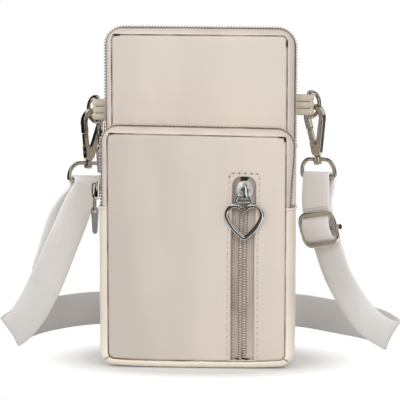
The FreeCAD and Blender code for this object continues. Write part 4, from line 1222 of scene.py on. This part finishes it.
def pillow(name, width, depth, heights, closed):
    """Soft bag: rounded loops from its base up, closed at the top or open with a folded hem."""
    middle, half = width
    front, back = depth
    low, high = heights
    corner = min(4.0, (back - front) / 2 - 0.05)
    turn = min(6.0, half / 4)
    base = arc(turn, low + turn, turn, -90, -180, 7)
    count = 24
    rows = base + [(0.0, low + turn + (high - low - 2 * turn) * index / count) for index in range(1, count)]
    if closed:
        rows += [(shrink, high + low - z) for shrink, z in reversed(base)]
    else:
        hem = ((0.0, turn), (0.0, 2.5), (0.1, 0.6), (0.5, 0.3), (0.7, 1.6))
        rows += [(shrink, high - drop) for shrink, drop in hem]
    verts = []
    for shrink, z in rows:
        for x, y in loop_points(half - shrink, (back - front) / 2 - min(shrink, corner), corner):
            soft = 0.35 * wobble(x, y, z, 16.0, 61.0)
            verts.append((middle + x - soft * x / half, (front + back) / 2 + y * (1 - 0.04 * abs(soft)), z))
    columns = len(verts) // len(rows)
    ends = end_faces(len(rows), columns)
    faces = grid_faces(len(rows), columns, around=True) + (ends if closed else ends[:1])
    return make(name, verts, faces, LINING)


def linings():
    """Cloth bags inside both compartments."""
    for prefix, depth in LINING_DEPTH.items():
        heights = (LINING_LOW, ZIP_END[prefix] - LINING_DROP)
        bag = pillow(prefix + "_lining_cloth", LINING_WIDTH, depth, heights, False)
        dress(bag, "lining_cloth", "pouch", prefix + "_lining")


# Sliders, pulls and other hardware

def slider(name, node, slot, face, material, place, crown):
    """Domed slider plate with an arched crown over it. Its face looks along -Y."""
    right = [(1.5, SLIDER_HALF), (3.7, 3.9), (5.1, 0.3), (3.9, -2.9), (2.4, -SLIDER_HALF)]
    outline = soften(mirrored(right), 3)
    dome = [(0.97, 0.0), (1.0, 0.3), (1.0, 0.75), (0.97, 1.05), (0.9, 1.25), (0.75, 1.36), (0.4, 1.42)]
    verts = []
    for scale, depth in dome:
        for x, z in outline:
            slope = SLIDER_SLOPE * depth * (SLIDER_HALF - z * scale) / (2 * SLIDER_HALF)
            verts.append((x * scale, -SLIDER_PLATE_BACK - depth - slope, z * scale))
    rows, columns = len(dome), len(outline)
    faces = grid_faces(rows, columns, around=True, flip=True) + end_faces(rows, columns)
    plate = make(name + "_plate", verts, faces, face, place)
    foot = -SLIDER_PLATE_BACK - 1.0
    high = -SLIDER_PLATE_BACK - 1.4 - crown + 0.45
    side = [(0.0, high), (2.6, high + 0.05), (3.7, high + 0.4), (3.8, high + 1.4), (3.8, foot)]
    route = [(0.0, y, -z) for z, y in reversed(side)] + [(0.0, y, z) for z, y in side[1:]]
    half = [(0.45, 0.7), (0.25, 1.05), (-0.25, 1.05), (-0.45, 0.7)]
    section = half + [(-a, -b) for a, b in half]
    arch = follow(name + "_crown", line_points(route, 6), SIDEWAYS, section, material, place=place)
    dress(plate, slot, node, node)
    dress(arch, slot, node)


def bowed(first, last):
    """Points between two places, on a line that bows out to its right-hand side."""
    across = last - first
    out = Vector((across.z, 0, -across.x)).normalized() * HEART_BOW
    steps = [index / 10 for index in range(1, 10)]
    return [first + across * step + out * math.sin(math.pi * step) for step in steps]


def heart_line():
    """Middle line of the open heart, closed, from the right lobe round to the tip."""
    span = math.hypot(HEART_LOBE_X, HEART_TIP_DROP)
    lean = math.degrees(math.asin((HEART_LOBE - HEART_TIP) / span))
    start = math.degrees(math.atan2(HEART_TIP_DROP, HEART_LOBE_X)) - 90 - lean
    rise = math.sqrt((HEART_LOBE + HEART_NOTCH) ** 2 - HEART_LOBE_X ** 2)
    meet = math.degrees(math.atan2(rise, -HEART_LOBE_X))
    turn = math.degrees(math.pi * HEART_BOW / span)
    arcs = [
        arc(HEART_LOBE_X, 0.0, HEART_LOBE, start + turn, meet, 26),
        arc(0.0, rise, HEART_NOTCH, meet - 180, -meet, 8),
        arc(-HEART_LOBE_X, 0.0, HEART_LOBE, 180 - meet, 180 - start - turn, 26),
        arc(0.0, -HEART_TIP_DROP, HEART_TIP, -180 - start + turn, start - turn, 8),
    ]
    right, notch, left, tip = [[Vector((x, 0, z)) for x, z in points] for points in arcs]
    return right + notch + left + bowed(left[-1], tip[0]) + tip + bowed(tip[-1], right[0])


def heart():
    """Open heart of polished oval wire on a short bail and a jump ring."""
    rim = [(HEART_WIRE[0] * a, HEART_WIRE[1] * b) for a, b in circle(1.0, 15)]
    place = Matrix.Translation(HEART_PLACE) @ Matrix.Rotation(math.radians(HEART_TURN), 4, "Z")
    charm = follow("heart_charm", heart_line(), FORWARD, rim, SILVER, closed=True, place=place)
    dress(charm, "silver_metal", "pocket_pull", "heart_pull")
    x, y = BAIL_PLACE
    corners = mirrored([(2.5, BAIL_TOP), (3.3, BAIL_TOP - 0.8), (4.3, BAIL_LOW + 0.9), (3.6, BAIL_LOW)])
    points = [Vector((x + across, y, z)) for across, z in soften(corners, 2)]
    bail = follow("pull_bail", points, FORWARD, circle(BAIL_WIRE, 10), SILVER, closed=True)
    dress(bail, "silver_metal", "pocket_pull", "pocket_pull_bail")
    middle = (BAIL_LOW + RING_LOW) / 2
    reach = (BAIL_LOW - RING_LOW) / 2 + 1.2
    points = [Vector((x, y + RING_DEPTH * a, middle + reach * b)) for a, b in circle(1.0, 24)]
    ring = follow("pull_jump_ring", points, SIDEWAYS, circle(RING_WIRE, 10), NICKEL, closed=True)
    dress(ring, "silver_metal", "pocket_pull")


def cast(node, slot, material, voxel, rounds, grow=0.0):
    """Rounded, polished casting in the shape of a solid, grown by what the rounding took off."""
    source = frame["nodes"][node]
    mesh = source.data.copy()
    mesh.materials.clear()
    mesh.materials.append(material)
    piece = bpy.data.objects.new(node + "_cast", mesh)
    scene.collection.objects.link(piece)
    remesh = piece.modifiers.new("remesh", "REMESH")
    remesh.mode = "VOXEL"
    remesh.voxel_size = voxel * MM
    soft = piece.modifiers.new("soft", "SMOOTH")
    soft.factor = 0.5
    soft.iterations = rounds
    if grow:
        full = piece.modifiers.new("full", "DISPLACE")
        full.mid_level = 0.0
        full.strength = grow * MM
    settle(piece)
    smooth(piece.data)
    dress(piece, slot, source["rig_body"], node)


def plate_node(node, material):
    """Give a solid that keeps its shape a finished material."""
    mesh = frame["nodes"][node].data
    mesh.materials.clear()
    mesh.materials.append(material)


def hardware():
    """Sliders, pulls, rings, hooks, loops and the strap adjuster."""
    place = Matrix.Translation((pocket_middle(POCKET_SLIDER_Z), POCKET_PLANE, POCKET_SLIDER_Z))
    place = place @ Matrix.Rotation(math.radians(POCKET_SLIDER_TURN), 4, "Z")
    slider("pocket_zip", "pocket_slider", "silver_metal", PALE_SATIN, SILVER, place, POCKET_CROWN)
    quarter = Matrix.Rotation(math.radians(-90), 4, "Z")
    for prefix, face in FACE.items():
        place = Matrix.Translation((-HALF, face + ZIP_BACK, SLIDER_Z[prefix])) @ quarter
        slider(prefix + "_zip", prefix + "_slider", "dark_nickel", NICKEL, NICKEL, place, SIDE_CROWN)
        cast(prefix + "_pull_tab", "dark_nickel", SATIN, voxel=0.12, rounds=8)
        plate_node(prefix + "_pull_link", NICKEL)
    heart()
    for side in ("left", "right"):
        cast(side + "_hook", "dark_nickel", NICKEL, voxel=0.24, rounds=40, grow=0.22)
        cast(side + "_gate", "dark_nickel", NICKEL, voxel=0.18, rounds=24, grow=0.12)
        for part in ("_ring", "_gate_pin", "_gate_spring", "_strap_loop"):
            plate_node(side + part, NICKEL)
    wire = ADJUSTER_WIRE / 2
    rim = loop_points(ADJUSTER_WIDTH / 2 - wire, ADJUSTER_HEIGHT / 2 - wire, ADJUSTER_CORNER)
    points = [Vector((x, -ADJUSTER_FRONT, z)) for x, z in rim]
    ring = follow("adjuster_wire", points, FORWARD, circle(wire, 12), PEWTER, True, adjuster_frame())
    dress(ring, "dark_nickel", "adjuster", "adjuster_frame")
    cast("adjuster_bar", "dark_nickel", PEWTER, voxel=0.18, rounds=6)


def tabs():
    """Ribbed cloth tabs folded round the bar of each ring, with two stitch lines."""
    ribs = []
    steps = 36
    for index in range(steps + 1):
        across = TAB_HEIGHT * (index / steps - 0.5)
        rib = 0.45 + 0.8 * abs(math.cos(math.pi * across / TAB_RIB))
        edge = min(1.0, (TAB_HEIGHT / 2 - abs(across)) / 0.5)
        ribs.append((across, TAB_THICK / 2 * rib * (0.45 + 0.55 * edge)))
    section = ribs + [(across, -half) for across, half in reversed(ribs)]
    face = TAB_Y - TAB_REACH - TAB_THICK * 0.31
    for name, (bar_x, bar_z) in TAB_BAR.items():
        way = math.copysign(1.0, bar_x)
        root = way * (HALF - 1.2)
        bar_out = bar_x + way * (TAB_REACH + 0.25)
        front = [(root, -1.5), (root + way * 1.8, -TAB_REACH), (bar_x, -TAB_REACH)]
        front.append((bar_out, -TAB_REACH * 0.75))
        route = front + [(x, -y) for x, y in reversed(front)]
        stations = [((x, TAB_Y + y, bar_z), (0.0, 0.0, 1.0)) for x, y in route]
        piece, _, _ = ribbon(name + "_tab_cloth", stations, section, TAB)
        dress(piece, "tab_cloth", "pouch", name + "_tab")
        places = []
        for z in (bar_z - TAB_RIB / 2, bar_z + TAB_RIB / 2):
            line = [Vector((x, face, z)) for x in (root + way * 1.4, bar_x + way * 0.6)]
            places += stitch_places(line, FORWARD, *TAB_STITCH)
        # The dark stitch rows lie in the grooves between the ribs and paint their shade as well as the thread
        stitches = beads(name + "_tab_stitches", places, THREAD_AND_SHADE)
        dress(stitches, "tab_cloth", "pouch")


# Stage

def shows_background(tree):
    """Socket that is 1 for what the eye, a mirror or glass sees, and 0 for light that falls on cloth."""
    path = add(tree, "LightPath")
    total = path.outputs["Is Camera Ray"]
    for kind in ("Is Glossy Ray", "Is Transmission Ray"):
        total = add(tree, "Math", total, path.outputs[kind], operation="MAXIMUM").outputs["Value"]
    return total


def studio():
    """Surroundings that are white to the eye. Polished metal shows bright and dark screens instead."""
    world = bpy.data.worlds.new("studio")
    scene.world = world
    world.use_nodes = True
    tree = world.node_tree
    place = add(tree, "TexCoord").outputs["Generated"]
    side = add(tree, "VectorMath", place, STUDIO_SIDE, operation="DOT_PRODUCT").outputs["Value"]
    share = add(tree, "MapRange", Value=side, From_Min=-1.0).outputs["Result"]
    total = ramp(tree, share, *[(position, (level, level, level, 1.0)) for position, level in STUDIO_LEVELS])
    depth = add(tree, "SeparateXYZ", place).outputs["Y"]
    for start, end, level in STUDIO_WALLS:
        wall = add(tree, "MapRange", Value=depth, From_Min=start, From_Max=end, To_Max=level)
        total = add(tree, "Math", total, wall.outputs["Result"], operation="MAXIMUM").outputs["Value"]
    glossy = add(tree, "LightPath").outputs["Is Glossy Ray"]
    mirror = add(tree, "MapRange", Value=glossy, To_Min=1.0, To_Max=total).outputs["Result"]
    strength = add(tree, "MapRange", Value=shows_background(tree), To_Min=WORLD_LIGHT).outputs["Result"]
    feed(tree, tree.nodes["Background"], Color=mirror, Strength=strength)


def floor():
    """Oval pale floor that keeps the object's shadow and goes over into the white around it, with a painted
    shadow where its glow fades near the pouch.
    """
    mesh = bpy.data.meshes.new("floor")
    rim = [(FLOOR_HALF[0] * x, FLOOR_BACK + FLOOR_HALF[1] * y, 0.0) for x, y in circle(1.0, 64)]
    mesh.from_pydata(rim, [], [tuple(range(len(rim)))])
    piece = bpy.data.objects.new("floor", mesh)
    scene.collection.objects.link(piece)
    material, tree, shader = start_material("pale_floor")
    place = add(tree, "TexCoord").outputs["Object"]
    flat = add(tree, "Mapping", Vector=place, Scale=(GLOW_SQUEEZE, 1.0, 1.0)).outputs["Vector"]
    away = add(tree, "VectorMath", flat, operation="LENGTH").outputs["Value"]
    # Painted shadow: the glow is weakest close to the pouch, so the floor round it is darker than its light
    # makes it
    glow = add(tree, "MapRange", away, *GLOW_REACH, *GLOW_LEVELS).outputs["Result"]
    seen = add(tree, "Math", shows_background(tree), glow, operation="MULTIPLY").outputs["Value"]
    feed(tree, shader, Base_Color=(0.8, 0.8, 0.8, 1.0), Roughness=0.9, Emission_Color=(1.0, 1.0, 1.0, 1.0),
         Emission_Strength=seen)
    mesh.materials.append(material)


def stage():
    """Floor, surroundings, soft lamps and the camera."""
    floor()
    studio()
    for name, place, size, energy in LAMPS:
        lamp = bpy.data.lights.new(name, "AREA")
        lamp.size = size
        lamp.energy = energy
        holder = bpy.data.objects.new(name, lamp)
        holder.location = place
        holder.rotation_euler = (LAMP_AIM - Vector(place)).to_track_quat("-Z", "Y").to_euler()
        holder.visible_glossy = False
        scene.collection.objects.link(holder)
    lens = bpy.data.cameras.new("camera")
    lens.lens = CAMERA_LENS
    lens.sensor_width = 36.0
    holder = bpy.data.objects.new("camera", lens)
    holder.location = CAMERA_PLACE
    holder.rotation_euler = (math.radians(90 - CAMERA_PITCH), 0, math.radians(CAMERA_YAW))
    scene.collection.objects.link(holder)
    scene.camera = holder


stage()
strap()
hank_band()
shells()
pocket()
linings()
hardware()
tabs()
